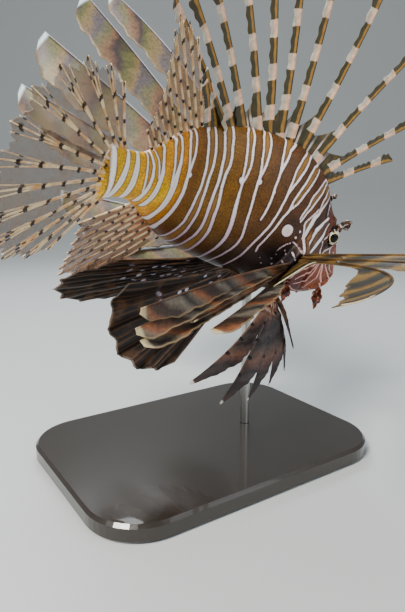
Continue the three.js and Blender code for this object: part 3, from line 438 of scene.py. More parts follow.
# The painted markings of the skin. Each white line is its widths in millimetres, even steps from
# its first end to its last, then (s, z) shares down the flank: thin pairs that meet in a Y near the
# middle of the flank and broaden toward the tail.
THIN = (1.2, 1.6, 1.7, 1.4)
FINE = (1.1, 1.5, 1.2)
LINES = [
    (THIN, [(0.295, 0.205), (0.311, 0.179), (0.324, 0.155), (0.338, 0.127), (0.351, 0.098),
            (0.369, 0.074), (0.379, 0.048), (0.386, 0.013), (0.395, -0.023), (0.401, -0.05),
            (0.396, -0.068)]),
    (THIN, [(0.29, 0.222), (0.321, 0.205), (0.337, 0.179), (0.347, 0.153), (0.358, 0.129),
            (0.368, 0.103), (0.37, 0.075)]),
    (THIN, [(0.325, 0.233), (0.345, 0.218), (0.357, 0.192), (0.371, 0.163), (0.387, 0.132),
            (0.396, 0.108)]),
    (THIN, [(0.35, 0.236), (0.374, 0.211), (0.384, 0.19), (0.392, 0.169), (0.396, 0.127),
            (0.397, 0.09), (0.401, 0.048), (0.405, 0.016), (0.413, -0.013), (0.421, -0.044),
            (0.424, -0.071), (0.428, -0.1), (0.436, -0.13), (0.442, -0.17)]),
    (THIN, [(0.398, 0.236), (0.413, 0.224), (0.424, 0.211), (0.429, 0.19), (0.437, 0.163),
            (0.441, 0.145)]),
    (THIN, [(0.438, 0.236), (0.446, 0.211), (0.446, 0.187), (0.442, 0.163), (0.441, 0.14),
            (0.442, 0.113), (0.439, 0.087), (0.438, 0.061), (0.44, 0.037), (0.442, 0.019)]),
    (THIN, [(0.496, 0.226), (0.49, 0.2), (0.49, 0.179), (0.49, 0.153), (0.493, 0.132),
            (0.496, 0.113)]),
    (THIN, [(0.511, 0.224), (0.516, 0.208), (0.511, 0.184), (0.507, 0.158), (0.501, 0.137),
            (0.497, 0.119), (0.496, 0.098), (0.493, 0.074), (0.488, 0.048), (0.482, 0.019),
            (0.475, -0.008), (0.468, -0.034), (0.463, -0.05), (0.463, -0.071), (0.468, -0.094),
            (0.476, -0.118), (0.483, -0.142), (0.485, -0.172)]),
    ((1.5, 1.7, 1.6, 1.6, 2.6, 2.8, 2.3, 1.9, 1.7),
     [(0.549, 0.214), (0.543, 0.195), (0.542, 0.171), (0.536, 0.148), (0.533, 0.127),
      (0.534, 0.105), (0.539, 0.082), (0.536, 0.056), (0.529, 0.029), (0.522, 0.006),
      (0.514, -0.021), (0.508, -0.044), (0.504, -0.066), (0.505, -0.092), (0.511, -0.121),
      (0.515, -0.144), (0.517, -0.168)]),
    (THIN, [(0.56, 0.212), (0.565, 0.195), (0.561, 0.171), (0.555, 0.15), (0.551, 0.129),
            (0.547, 0.108), (0.544, 0.092)]),
    ((1.7, 2.3, 2.3, 1.9), [
        (0.611, 0.198), (0.608, 0.176), (0.605, 0.153), (0.599, 0.129), (0.596, 0.105),
        (0.6, 0.08), (0.596, 0.05), (0.587, 0.024), (0.58, 0.0), (0.574, -0.026), (0.568, -0.047),
        (0.562, -0.068), (0.561, -0.097), (0.562, -0.123), (0.565, -0.16)]),
    ((1.7, 2.3, 2.3, 1.9), [
        (0.628, 0.192), (0.637, 0.171), (0.632, 0.153), (0.625, 0.129), (0.621, 0.103),
        (0.617, 0.077), (0.613, 0.05), (0.611, 0.024), (0.607, 0.0), (0.6, -0.023), (0.593, -0.05),
        (0.59, -0.071), (0.591, -0.097), (0.597, -0.123), (0.604, -0.155)]),
    ((1.6, 2.2, 2.2, 1.8), [
        (0.666, 0.175), (0.664, 0.158), (0.659, 0.14), (0.653, 0.116), (0.649, 0.087),
        (0.649, 0.061), (0.645, 0.035), (0.64, 0.008), (0.634, -0.018), (0.63, -0.042),
        (0.628, -0.066), (0.626, -0.097), (0.629, -0.123), (0.634, -0.15)]),
    ((1.6, 2.2, 2.3, 1.8), [
        (0.682, 0.168), (0.69, 0.153), (0.684, 0.132), (0.679, 0.108), (0.672, 0.082),
        (0.668, 0.056), (0.664, 0.029), (0.663, 0.0), (0.66, -0.023), (0.657, -0.05),
        (0.654, -0.071), (0.657, -0.097), (0.663, -0.125), (0.668, -0.146)]),
    ((1.6, 2.0, 3.3, 3.7, 3.0), [
        (0.729, 0.146), (0.725, 0.119), (0.722, 0.092), (0.726, 0.069), (0.728, 0.05),
        (0.724, 0.026), (0.719, 0.0), (0.718, -0.029), (0.718, -0.058), (0.72, -0.084),
        (0.72, -0.105), (0.712, -0.125)]),
    ((1.6, 2.2, 1.6), [(0.743, 0.138), (0.748, 0.117), (0.744, 0.098), (0.738, 0.077),
                       (0.731, 0.052)]),
    ((1.5, 2.0, 3.6, 6.2, 5.4, 4.4, 3.2), [
        (0.777, 0.122), (0.773, 0.095), (0.771, 0.071), (0.77, 0.048), (0.769, 0.024),
        (0.765, -0.002), (0.762, -0.029), (0.762, -0.055), (0.763, -0.079), (0.757, -0.1)]),
    ((1.5, 2.0, 2.0), [(0.788, 0.115), (0.797, 0.092), (0.795, 0.071), (0.789, 0.048),
                       (0.783, 0.024), (0.777, 0.008)]),
    ((1.5, 2.4, 4.2, 5.4, 4.6), [(0.83, 0.09), (0.836, 0.067), (0.835, 0.048), (0.831, 0.027),
                                 (0.83, 0.003), (0.828, -0.023), (0.83, -0.055)]),
    (FINE, [(0.866, 0.068), (0.855, 0.053), (0.849, 0.037), (0.842, 0.016)]),
    ((1.8, 2.4, 3.6, 4.8), [(0.884, 0.062), (0.871, 0.04), (0.866, 0.016), (0.867, -0.01),
                            (0.871, -0.045)]),
    ((1.4, 2.0, 1.6), [(0.897, 0.058), (0.894, 0.027), (0.888, 0.003), (0.88, -0.021)]),
    ((3.2, 5.2, 5.8, 4.6), [(0.939, 0.06), (0.937, 0.021), (0.935, -0.005), (0.931, -0.05)]),
    ((2.6, 4.6, 5.8, 4.2), [(0.981, 0.06), (0.9795, 0.024), (0.982, -0.005), (0.988, -0.052)]),
    ((2.6, 3.4, 3.0, 2.4), [(1.049, 0.075), (1.033, 0.04), (1.02, 0.005), (1.006, -0.03),
                            (0.998, -0.06)]),
    ((1.2, 1.5, 1.5, 1.2), [
        (0.225, 0.196), (0.252, 0.19), (0.265, 0.182), (0.278, 0.168), (0.288, 0.153),
        (0.3, 0.138), (0.305, 0.125), (0.307, 0.11), (0.312, 0.098), (0.318, 0.08), (0.32, 0.065)]),
    ((1.2, 1.5, 1.5, 1.2), [
        (0.238, 0.19), (0.253, 0.175), (0.26, 0.163), (0.265, 0.153), (0.275, 0.138),
        (0.288, 0.117), (0.295, 0.103), (0.305, 0.088), (0.31, 0.07), (0.315, 0.058)]),
    (FINE, [(0.23, 0.17), (0.238, 0.16), (0.242, 0.15), (0.25, 0.14), (0.255, 0.122)]),
    ((1.0, 1.5, 2.0, 3.6, 3.6, 2.0), [
        (0.205, 0.162), (0.225, 0.145), (0.238, 0.13), (0.245, 0.12), (0.255, 0.1), (0.265, 0.088),
        (0.268, 0.078), (0.27, 0.065), (0.273, 0.05), (0.273, 0.038), (0.27, 0.02), (0.268, 0.0)]),
    ((1.0, 1.4, 1.4, 1.2), [(0.25, 0.117), (0.263, 0.11), (0.27, 0.1), (0.278, 0.088),
                            (0.288, 0.075), (0.295, 0.065), (0.295, 0.055), (0.288, 0.045),
                            (0.278, 0.02)]),
    ((1.4, 3.2, 3.6, 3.2, 2.2), [
        (0.203, 0.095), (0.215, 0.085), (0.228, 0.07), (0.24, 0.055), (0.242, 0.04),
        (0.243, 0.023), (0.244, 0.008), (0.248, -0.006)]),
    ((1.6, 1.2, 1.1, 0.8), [(0.248, -0.006), (0.265, -0.008), (0.28, -0.001), (0.292, 0.0),
                            (0.307, -0.003), (0.32, -0.012), (0.33, -0.026), (0.336, -0.04)]),
    ((1.2, 2.2, 3.6, 3.4, 2.4), [(0.185, 0.083), (0.19, 0.068), (0.193, 0.05), (0.198, 0.038),
                            (0.205, 0.025), (0.21, 0.01), (0.215, -0.006)]),
    ((0.8, 0.9, 1.0), [(0.184, 0.035), (0.175, 0.025), (0.172, 0.012), (0.169, -0.004)]),
    ((0.7, 1.0, 0.8), [(0.158, 0.076), (0.17, 0.057), (0.179, 0.038)]),
    ((0.9, 1.4, 1.2), [(0.108, 0.034), (0.125, 0.023), (0.143, 0.013), (0.155, 0.004),
                       (0.152, -0.012)]),
    ((0.9, 1.4, 1.2), [(0.122, 0.02), (0.112, 0.006), (0.106, -0.012)]),
    ((0.6, 0.9, 0.7), [(0.2, 0.152), (0.206, 0.133), (0.206, 0.118), (0.204, 0.104)]),
    ((1.2, 1.6, 1.3), [(0.172, -0.014), (0.165, -0.03), (0.17, -0.042), (0.18, -0.054),
                       (0.2, -0.066), (0.216, -0.09), (0.219, -0.112)]),
    (FINE, [(0.152, -0.03), (0.151, -0.047), (0.16, -0.06), (0.17, -0.077), (0.182, -0.086),
            (0.193, -0.105)]),
    (FINE, [(0.143, -0.03), (0.143, -0.05), (0.143, -0.075), (0.15, -0.086), (0.153, -0.1),
            (0.165, -0.112), (0.18, -0.124)]),
    ((1.2, 1.6, 1.2), [(0.127, -0.03), (0.12, -0.05), (0.113, -0.066), (0.113, -0.078),
                       (0.116, -0.09), (0.123, -0.11), (0.13, -0.127)]),
    ((1.3, 1.8, 1.8, 1.2), [(0.136, -0.012), (0.133, -0.025), (0.115, -0.04), (0.105, -0.055),
                            (0.098, -0.068), (0.078, -0.08), (0.064, -0.093), (0.045, -0.112)]),
    ((0.9, 1.3, 1.0), [(0.118, -0.018), (0.105, -0.033), (0.085, -0.045), (0.062, -0.057),
                       (0.037, -0.07), (0.018, -0.08)]),
    ((0.8, 1.1, 0.8), [(0.095, -0.012), (0.083, -0.025), (0.07, -0.038), (0.046, -0.05)]),
    ((0.8, 1.1, 0.8), [(0.075, -0.004), (0.045, -0.025), (0.03, -0.04), (0.014, -0.055)]),
    ((0.8, 1.1, 0.8), [(0.088, 0.014), (0.06, 0.0), (0.035, -0.012), (0.02, -0.028)]),
    ((0.8, 1.2, 0.8), [(0.07, 0.036), (0.052, 0.022), (0.034, 0.008)]),
    ((0.8, 1.2, 0.8), [(0.062, -0.1), (0.045, -0.108), (0.03, -0.112), (0.012, -0.1)]),
    ((0.8, 1.2, 0.8), [(0.09, -0.126), (0.07, -0.132), (0.05, -0.128), (0.03, -0.12)]),
    ((0.8, 1.2, 0.8), [(0.1, -0.142), (0.13, -0.15), (0.155, -0.148), (0.182, -0.137)]),
    ((0.7, 1.0, 0.7), [(0.2, -0.12), (0.214, -0.14), (0.222, -0.16)]),
]
# Round white spots: (s, z), radius in millimetres.
SPOTS = [(0.343, 0.023, 4.2), (0.491, 0.106, 1.3), (0.546, 0.087, 1.6), (0.719, 0.045, 1.4),
         (0.601, 0.071, 0.8), (0.438, 0.1, 0.7), (0.3, 0.034, 1.0), (0.303, 0.015, 1.1),
         (0.32, -0.085, 0.8), (0.312, -0.03, 0.7), (0.29, -0.024, 0.8), (0.303, -0.04, 0.6),
         (0.281, -0.03, 0.6), (0.335, -0.07, 0.7), (0.352, -0.095, 0.6), (0.33, -0.052, 0.5),
         (0.37, -0.08, 0.5), (0.3, -0.062, 0.6)]
# The pairs of lines, by their order above, that hold an olive-ochre band between them.
PAIRS = [(0, 1), (2, 3), (4, 5), (6, 7), (8, 9), (10, 11), (12, 13), (14, 15), (16, 17), (18, 19),
         (20, 21), (26, 25), (28, 29)]
# Ground colour from the snout to the tail, and every paint below, in 0 to 255 steps.
GROUND = [(0.0, (150, 70, 42)), (0.1, (132, 62, 38)), (0.2, (96, 52, 32)), (0.3, (88, 52, 28)),
          (0.4, (92, 56, 22)), (0.5, (106, 68, 20)), (0.58, (130, 86, 16)), (0.64, (144, 100, 28)),
          (0.7, (128, 80, 16)), (0.76, (224, 140, 6)), (0.82, (255, 180, 0)), (0.9, (250, 180, 2)),
          (1.0, (255, 194, 4))]
# Patches of other colours: (s, z), reach in shares, strength, colour.
PATCHES = [
    (0.33, -0.07, 0.075, 0.06, 0.95, (26, 20, 24)), (0.39, -0.13, 0.09, 0.05, 0.8, (40, 26, 24)),
    (0.27, -0.03, 0.05, 0.02, 0.95, (20, 18, 24)), (0.335, 0.045, 0.03, 0.025, 0.55, (40, 24, 18)),
    (0.285, 0.09, 0.012, 0.06, 0.5, (128, 70, 36)), (0.25, 0.09, 0.012, 0.03, 0.7, (52, 34, 30)),
    (0.215, 0.125, 0.01, 0.03, 0.92, (24, 20, 26)), (0.236, 0.075, 0.012, 0.03, 0.6, (50, 34, 30)),
    (0.258, 0.03, 0.007, 0.03, 0.75, (132, 92, 40)), (0.222, 0.035, 0.007, 0.04, 0.8, (128, 90, 40)),
    (0.155, 0.032, 0.016, 0.016, 0.97, (14, 12, 16)), (0.188, 0.02, 0.01, 0.03, 0.5, (74, 48, 30)),
    (0.105, -0.09, 0.055, 0.05, 0.95, (152, 74, 28)), (0.05, -0.12, 0.07, 0.04, 0.95, (156, 78, 36)),
    (0.19, -0.12, 0.05, 0.05, 0.95, (104, 26, 12)), (0.14, -0.06, 0.06, 0.035, 0.7, (152, 60, 22)),
    (0.128, -0.112, 0.014, 0.008, 0.9, (206, 92, 18)), (0.03, -0.09, 0.012, 0.008, 0.9, (206, 92, 40)),
    (0.8, -0.015, 0.05, 0.035, 0.9, (255, 200, 0)), (0.96, 0.01, 0.03, 0.05, 0.8, (255, 200, 6)),
    (0.745, 0.02, 0.02, 0.05, 0.5, (214, 150, 30)), (0.76, 0.09, 0.02, 0.03, 0.8, (222, 146, 10)),
    (0.81, 0.06, 0.025, 0.03, 0.7, (232, 150, 8)), (0.55, 0.02, 0.03, 0.1, 0.35, (146, 100, 22)),
    (0.03, -0.03, 0.06, 0.05, 0.8, (168, 78, 34)), (0.62, -0.12, 0.1, 0.03, 0.5, (104, 40, 20)),
]
# How light the ground is toward the belly, and how much of the white is left there.
BELLY_SHADE = [(-0.18, 0.45), (-0.13, 0.55), (-0.09, 0.72), (-0.04, 0.92), (0.0, 1.0)]
WHITE_FADE = [(-0.17, 0.3), (-0.12, 0.5), (-0.06, 0.9), (-0.02, 1.0)]
WHITE = (255, 250, 250)
LILAC = (224, 200, 222)
ROSY = (246, 168, 142)
OCHRE = (168, 122, 54)
WOBBLE = 0.0014
SPOT_OVAL = 0.92
PAIR_FOOT = 0.004
FAR_MM = 9.0
SCALE_SIZE = 0.0017


def linear(colour):
    """Paint given in 0 to 255 steps, as linear light."""
    colour = np.asarray(colour, float) / 255
    return np.where(colour <= 0.04045, colour / 12.92, ((colour + 0.055) / 1.055) ** 2.4)


def wobble(points, size, seed):
    """A soft random value from -1 to 1 at each point, changing over size metres."""
    shift = Vector((seed, -seed, 2 * seed))
    return np.array([noise.noise(Vector(point) / size + shift) for point in points])


def from_white(s, z):
    """Millimetres from each point to the edge of the nearest white mark, below 0 inside one."""
    white = np.full(s.shape, FAR_MM)
    for widths, points in LINES:
        away, share = from_line(points, s, z)
        width = np.interp(share, np.linspace(0, 1, len(widths)), widths)
        white = np.minimum(white, away - width / 2)
    for spot_s, spot_z, radius in SPOTS:
        away = np.hypot((s - spot_s) * SPOT_OVAL, z - spot_z) * SHARE_MM
        white = np.minimum(white, away - radius)
    return white


def inside_pairs(s, z):
    """Millimetres from each point to the edge of the pair of lines round it, below 0 outside."""
    band = np.full(s.shape, -FAR_MM)
    for pair in PAIRS:
        drawn = [np.array(sorted(LINES[index][1], key=lambda point: point[1])) for index in pair]
        front, rear = (np.interp(z, points[:, 1], points[:, 0]) for points in drawn)
        low = max(points[0, 1] for points in drawn)
        inside = np.minimum(s - front, rear - s) * SHARE_MM
        band = np.maximum(band, np.where(z > low - PAIR_FOOT, inside, -FAR_MM))
    return band


def ground_at(s, z, shade):
    """The ground colour of each point, shaded toward the belly and with its patches over it."""
    stations = [station for station, _ in GROUND]
    ground = np.stack([np.interp(s, stations, [colour[i] for _, colour in GROUND]) for i in range(3)], -1)
    ground = ground * shade[:, None]
    for patch_s, patch_z, reach_s, reach_z, strength, colour in PATCHES:
        away = ((s - patch_s) / reach_s) ** 2 + ((z - patch_z) / reach_z) ** 2
        share = strength * np.exp(-(away**1.5))
        ground = ground + (np.array(colour) - ground) * share[:, None]
    return ground


def skin_paint(s, z, places):
    """Ground colour, white edge distance, ochre share and the colour of the white at each vertex."""
    s = s + WOBBLE * wobble(places, 0.009, 3.0)
    z = z + WOBBLE * wobble(places, 0.012, 8.0)
    before_tail = 1 - smooth_step((s - 0.62) / 0.2)
    on_head = 1 - smooth_step((s - 0.2) / 0.05)
    on_trunk = before_tail * (1 - on_head)
    shade = 1 + (np.interp(z, *np.array(BELLY_SHADE).T) - 1) * before_tail
    ochre = smooth_step((inside_pairs(s, z) + 0.3) / 1.2) * np.clip(1.1 - s * 0.6, 0.35, 0.8) * shade
    strength = 1 + (np.interp(z, *np.array(WHITE_FADE).T) - 1) * on_trunk
    lilac = smooth_step((0.06 - z) / 0.12) * on_trunk
    rosy = smooth_step((0.0 - z) / 0.05) * on_head
    pale = np.array(WHITE) + (np.array(LILAC) - WHITE) * lilac[:, None]
    pale = pale + (np.array(ROSY) - pale) * rosy[:, None]
    pale = np.column_stack([linear(pale), strength])
    return linear(ground_at(s, z, shade)), from_white(s, z), ochre, pale


def attribute(tree, name, socket="Fac"):
    return node(tree, "Attribute", attribute_name=name).outputs[socket]


def step(tree, value, low, high, start=0.0, end=1.0):
    """A smooth step from start to end as value goes from low to high."""
    values = {"Value": value, "From Min": low, "From Max": high, "To Min": start, "To Max": end}
    return node(tree, "MapRange", values, interpolation_type="SMOOTHSTEP").outputs["Result"]


def mixed(tree, share, under, over):
    """The colour under, covered by the colour over as far as share says."""
    made = node(tree, "Mix", {0: share, 6: under, 7: over}, data_type="RGBA")
    return made.outputs[2]


def calc(tree, operation, first, second=0.0, third=0.0):
    return node(tree, "Math", {0: first, 1: second, 2: third}, operation=operation).outputs[0]


def paint(colour):
    return tuple(linear(colour)) + (1,)


def grey_times(tree, colour, factor):
    """A colour made lighter or darker by a grey factor."""
    grey = node(tree, "CombineColor", {0: factor, 1: factor, 2: factor}).outputs[0]
    made = node(tree, "Mix", {0: 1.0, 6: colour, 7: grey}, data_type="RGBA", blend_type="MULTIPLY")
    return made.outputs[2]


fish_skin, tree, shader = new_material("painted_skin", Coat_Weight=0.05, Coat_Roughness=0.3,
                                       Specular_IOR_Level=0.25, Subsurface_Weight=0.05,
                                       Subsurface_Scale=0.0015)
fleck = mottling(tree, 900.0, 3.0)
cloud = mottling(tree, 110.0, 4.0)
scales = node(tree, "TexVoronoi", {"Vector": attribute(tree, "lie", "Vector"), "Scale": 1.0,
                                   "Randomness": 0.55}, voronoi_dimensions="2D")
scale_height = scales.outputs["Distance"]
white_edge = calc(tree, "ADD", attribute(tree, "white"), calc(tree, "MULTIPLY_ADD", fleck, 0.9, -0.45))
ground = grey_times(tree, attribute(tree, "ground", "Color"), step(tree, fleck, 0.3, 0.7, 0.72, 1.3))
ground = grey_times(tree, ground, step(tree, cloud, 0.3, 0.7, 0.82, 1.18))
ground = grey_times(tree, ground, step(tree, scale_height, 0.1, 0.7, 1.1, 0.78))
ochre_share = calc(tree, "MULTIPLY", attribute(tree, "ochre"), step(tree, cloud, 0.25, 0.6, 0.5, 1.0))
ground = mixed(tree, ochre_share, ground, paint(OCHRE))
ground = grey_times(tree, ground, step(tree, white_edge, 0.2, 1.5, 0.28, 0.86))
pale = attribute(tree, "pale", "Color")
pale = mixed(tree, step(tree, white_edge, -0.7, 0.1, 0.0, 0.6), pale, paint((206, 158, 158)))
pale = mixed(tree, step(tree, white_edge, -2.4, -1.7, 0.5, 0.0), pale, paint((250, 214, 180)))
pale = mixed(tree, step(tree, cloud, 0.5, 0.75, 0.0, 0.3), pale, paint((236, 196, 186)))
uncovered = step(tree, white_edge, -0.25, 0.35)
cover = calc(tree, "MULTIPLY", calc(tree, "SUBTRACT", 1.0, uncovered), attribute(tree, "pale", "Alpha"))
whole = mixed(tree, cover, ground, pale)
tree.links.new(whole, shader.inputs["Base Color"])
tree.links.new(step(tree, fleck, 0.2, 0.8, 0.34, 0.52), shader.inputs["Roughness"])
scaly = emboss(tree, shader, scale_height, 0.35, 0.0003)
emboss(tree, shader, fleck, 0.2, 0.0002, scaly)

skin_mesh, skin_u, skin_v = grid_mesh("fish_skin", SKIN_SIDES, SKIN_ROWS, lay_skin)
skin_s, skin_w, skin_z = skin_points(skin_u, skin_v)[:3]
skin_places = fish(skin_s, skin_w, skin_z)
ground_paint, white_mm, ochre_paint, pale_paint = skin_paint(skin_s, skin_z, skin_places)
store(skin_mesh, "ground", np.column_stack([ground_paint, np.ones(len(ground_paint))]))
store(skin_mesh, "pale", pale_paint)
store(skin_mesh, "white", white_mm)
store(skin_mesh, "ochre", ochre_paint)
scale_places = np.column_stack([skin_s, skin_z, np.zeros(len(skin_s))]) * BODY_LENGTH / SCALE_SIZE
store(skin_mesh, "lie", scale_places)

bm = bmesh.new()
bm.from_mesh(skin_mesh)
bmesh.ops.remove_doubles(bm, verts=bm.verts, dist=1e-6)
bmesh.ops.holes_fill(bm, edges=[edge for edge in bm.edges if edge.is_boundary])
bmesh.ops.recalc_face_normals(bm, faces=bm.faces)
skin = piece_from(bm, "fish_skin", fish_skin)
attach(skin, "root")
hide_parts("head", "lower_jaw", "gill_cover_right", "gill_cover_left", "trunk", "tail_stalk",
            "pectoral_base_right", "pectoral_base_left")

# Eyes: glass domes over a black pupil with a thin pale ring, set in the sockets and crossed by
# the dark band of the face.
PUPIL_MM = 3.6
PALE_RING_MM = 4.1
DARK_RIM_MM = 6.4
GAZE = (-0.16, 1, 0.1)
CORNEA_FROM = 0.8
CORNEA_SWELL = 1.05

glass_eye, tree, shader = new_material("glass_eye", Roughness=0.12, Specular_IOR_Level=0.2)
ring = attribute(tree, "ring")
speckle = mottling(tree, 700.0, 3.0)
patch = mottling(tree, 190.0, 1.0)
iris = mixed(tree, step(tree, speckle, 0.45, 0.6), paint((40, 24, 16)), paint((122, 84, 44)))
iris = mixed(tree, step(tree, patch, 0.54, 0.6), iris, paint((226, 214, 206)))
iris = mixed(tree, step(tree, ring, DARK_RIM_MM, DARK_RIM_MM + 1.2), iris, paint((16, 14, 18)))
edge = calc(tree, "ADD", ring, calc(tree, "MULTIPLY_ADD", speckle, 0.6, -0.3))
in_iris = step(tree, edge, PALE_RING_MM, PALE_RING_MM + 0.2)
eye_colour = mixed(tree, in_iris, paint((236, 216, 150)), iris)
past_pupil = step(tree, edge, PUPIL_MM - 0.1, PUPIL_MM + 0.05)
eye_colour = mixed(tree, past_pupil, paint((2, 2, 3)), eye_colour)
tree.links.new(eye_colour, shader.inputs["Base Color"])

for side, name in ((-1, "right"), (1, "left")):
    bm = bmesh.new()
    bmesh.ops.create_uvsphere(bm, u_segments=48, v_segments=32, radius=EYE["radius"])
    ring_layer = bm.verts.layers.float.new("ring")
    for vert in bm.verts:
        height = max(-1, min(1, vert.co.z / EYE["radius"]))
        vert[ring_layer] = math.acos(height) * EYE["radius"] * 1000
        if height > CORNEA_FROM:
            vert.co.z *= CORNEA_SWELL
    gaze = Vector((GAZE[0], side * GAZE[1], GAZE[2])).normalized()
    bmesh.ops.rotate(bm, verts=bm.verts, matrix=Vector((0, 0, 1)).rotation_difference(gaze).to_matrix())
    bmesh.ops.translate(bm, verts=bm.verts, vec=Vector(fish(EYE["s"], side * EYE["out"], EYE["z"])))
    for vert, place in zip(bm.verts, settled([vert.co[:] for vert in bm.verts])):
        vert.co = place
    eye = piece_from(bm, "eye_globe_" + name, glass_eye)
    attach(eye, "root")
    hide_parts("eye_" + name)

# Skin flaps: a frilled leaf of soft dark red-brown skin over each eye, one hanging from each side
# of the snout, one on each cheek and a small one on the nape, cut into lobes and slightly cupped.
FLAP_THICK = 0.0007
FLAP_COLUMNS, FLAP_ROWS = 16, 40
NAPE = 0.183

flap_skin, tree, shader = new_material("flap_skin", Roughness=0.5, Subsurface_Weight=0.1,
                                       Subsurface_Scale=0.001)
mottle = mottling(tree, 420.0, 4.0)
spot = node(tree, "TexCoord").outputs["Object"]
pale_spot = node(tree, "TexVoronoi", {"Vector": spot, "Scale": 330.0}).outputs["Distance"]
flap_colour = mixed(tree, step(tree, mottle, 0.42, 0.6), paint((48, 20, 14)), paint((138, 58, 28)))
in_spot = step(tree, pale_spot, 0.16, 0.26, 0.8, 0.0)
flap_colour = mixed(tree, in_spot, flap_colour, paint((218, 170, 140)))
on_rim = step(tree, attribute(tree, "rim"), 0.82, 1.0)
flap_colour = mixed(tree, on_rim, flap_colour, paint((170, 96, 60)))
tree.links.new(flap_colour, shader.inputs["Base Color"])
emboss(tree, shader, mottle, 0.4, 0.0004)

brow_skin, tree, shader = new_material("brow_skin", Roughness=0.5)
mottle = mottling(tree, 380.0, 3.0)
brow_colour = mixed(tree, step(tree, mottle, 0.46, 0.52), paint((34, 24, 20)), paint((112, 74, 44)))
brow_colour = mixed(tree, step(tree, mottle, 0.56, 0.6), brow_colour, paint((222, 214, 210)))
tree.links.new(brow_colour, shader.inputs["Base Color"])


def under_skin(side, s, z, share):
    """A place in the head, at a share of the way from its middle out to its skin."""
    return fish(s, side * half_width_at(s, z) * share, z)


def make_flap(name, cad_node, root, way, across, length, width, lobes, look):
    """A flap hanging from its root along way, cut into lobes. The nape's has no node in the CAD."""
    way, across = unit(way), unit(across)
    normal = np.cross(way, across)

    def lay(u, v):
        swell = np.sin(np.pi * np.minimum(1, 0.1 + v * 0.88))
        frill = 0.72 + 0.28 * np.abs(np.sin(v * lobes * np.pi)) + 0.06 * np.sin(v * 61)
        reach = (u - 0.5) * width * np.maximum(0.1, swell * frill)
        cup = 0.0011 * np.sin(v * 9 + u * 5) + 0.25 * reach**2 / width
        points = np.asarray(root) + v[:, None] * length * way + reach[:, None] * across
        return settled(points + cup[:, None] * normal)

    mesh, u, v = grid_mesh(name, FLAP_COLUMNS, FLAP_ROWS, lay)
    store(mesh, "rim", np.maximum(np.abs(u - 0.5) * 2, v))
    bm = bmesh.new()
    bm.from_mesh(mesh)
    bmesh.ops.solidify(bm, geom=bm.faces[:], thickness=FLAP_THICK)
    bmesh.ops.recalc_face_normals(bm, faces=bm.faces)
    flap = piece_from(bm, name, look)
    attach(flap, "root")
    if cad_node:
        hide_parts(cad_node)


for side, name in ((-1, "right"), (1, "left")):
    brow = fish(EYE["s"] - 0.014, side * (EYE["out"] + 0.002), EYE["z"] + 0.022)
    make_flap("brow_leaf_" + name, "eye_tentacle_" + name, brow, (0.3, side * 0.35, 0.85),
              (0.85, 0, -0.35), 0.0125, 0.0105, 3, brow_skin)
    snout = under_skin(side, 0.035, -0.11, 0.85)
    make_flap("snout_leaf_" + name, "mouth_barbel_" + name, snout, (0.1, side * 0.35, -0.94),
              (0.85, side * 0.5, 0), 0.019, 0.009, 4, flap_skin)
    cheek = under_skin(side, 0.185, -0.135, 0.9)
    make_flap("cheek_leaf_" + name, "cheek_flap_" + name, cheek, (-0.25, side * 0.5, -0.83),
              (0.9, side * 0.3, 0), 0.015, 0.008, 3, flap_skin)

nape = fish(NAPE, -0.01, float(along(TOP_LINE, NAPE)) - 0.004)
make_flap("nape_leaf", None, nape, (0.35, -0.1, 0.93), (0.93, 0, -0.35), 0.0065, 0.005, 2, brow_skin)

# Spiny dorsal fin: thirteen hard spines, each a tapered rod with a narrow skin down its rear edge
# that widens to a flag below the tip, and a low web of skin between their feet.
SUNK = 0.004
SPINE_RADIUS = 0.0013
SPINE_VANE = 0.0044
SPINE_SIDES, SPINE_ROWS = 20, 110
BAND_GAP = 0.0235
BAND_STEP = 0.37
SPINE_REACH = [(0, 2), (0.13, 1.4), (0.3, 1), (0.7, 1), (0.88, 1.5), (0.95, 1.1), (1, 0.2)]
WEB_HEIGHTS = (0.29, 0.12)
REAR_WEB_HEIGHTS = (0.75, 0.6)
REAR_WEB_FROM = 10
WEB_DIP = 1.7
WEB_COLUMNS, WEB_ROWS = 20, 16
WEB_THICK = 0.0006
PAST_MIDDLE = 0.6
# Place, lean in degrees and length of each spine.
DORSAL_SPINES = [(0.222, -50, 0.24), (0.25, -39, 0.36), (0.3, -17, 0.47), (0.364, 4, 0.48),
                 (0.413, 19, 0.48), (0.449, 28, 0.47), (0.487, 34, 0.46), (0.522, 41, 0.44),
                 (0.57, 48, 0.41), (0.606, 54, 0.38), (0.632, 59, 0.34), (0.658, 48, 0.15),
                 (0.68, 42, 0.12)]


def ray_path(root, start_way, end_way, length):
    """The three points that a bent ray follows: root, bend and tip."""
    middle = np.asarray(root) + np.asarray(start_way) * length / 2
    return np.array([root, middle, middle + np.asarray(end_way) * length / 2])


def on_ray(path, t):
    t = np.asarray(t, float)[..., None]
    return path[0] * (1 - t) ** 2 + path[1] * 2 * t * (1 - t) + path[2] * t * t


def ray_way(path, t):
    t = np.asarray(t, float)[..., None]
    return unit((path[1] - path[0]) * (1 - t) + (path[2] - path[1]) * t)


def way_to(path, after):
    """The way from one ray to the next, taken a little past their middles."""
    return on_ray(after, PAST_MIDDLE) - on_ray(path, PAST_MIDDLE)


def between(path, after, t, u):
    """Points on a skin stretched from one ray to the next, u across and t along."""
    return on_ray(path, t) * (1 - u)[:, None] + on_ray(after, t) * u[:, None]


def mid_ray(s, z, lean, length, curl=0.0):
    """A ray standing in the middle plane at s, its root sunk below the skin."""
    turn = float(heading(s))
    back = np.array([-math.cos(turn), -math.sin(turn), 0])
    up = np.array([0, 0, math.copysign(1, z)])

    def way(degrees):
        return up * math.cos(math.radians(degrees)) + back * math.sin(math.radians(degrees))

    root = fish(s, 0, z) - way(lean - curl) * SUNK
    return ray_path(root, way(lean - curl), way(lean + curl), length + SUNK)


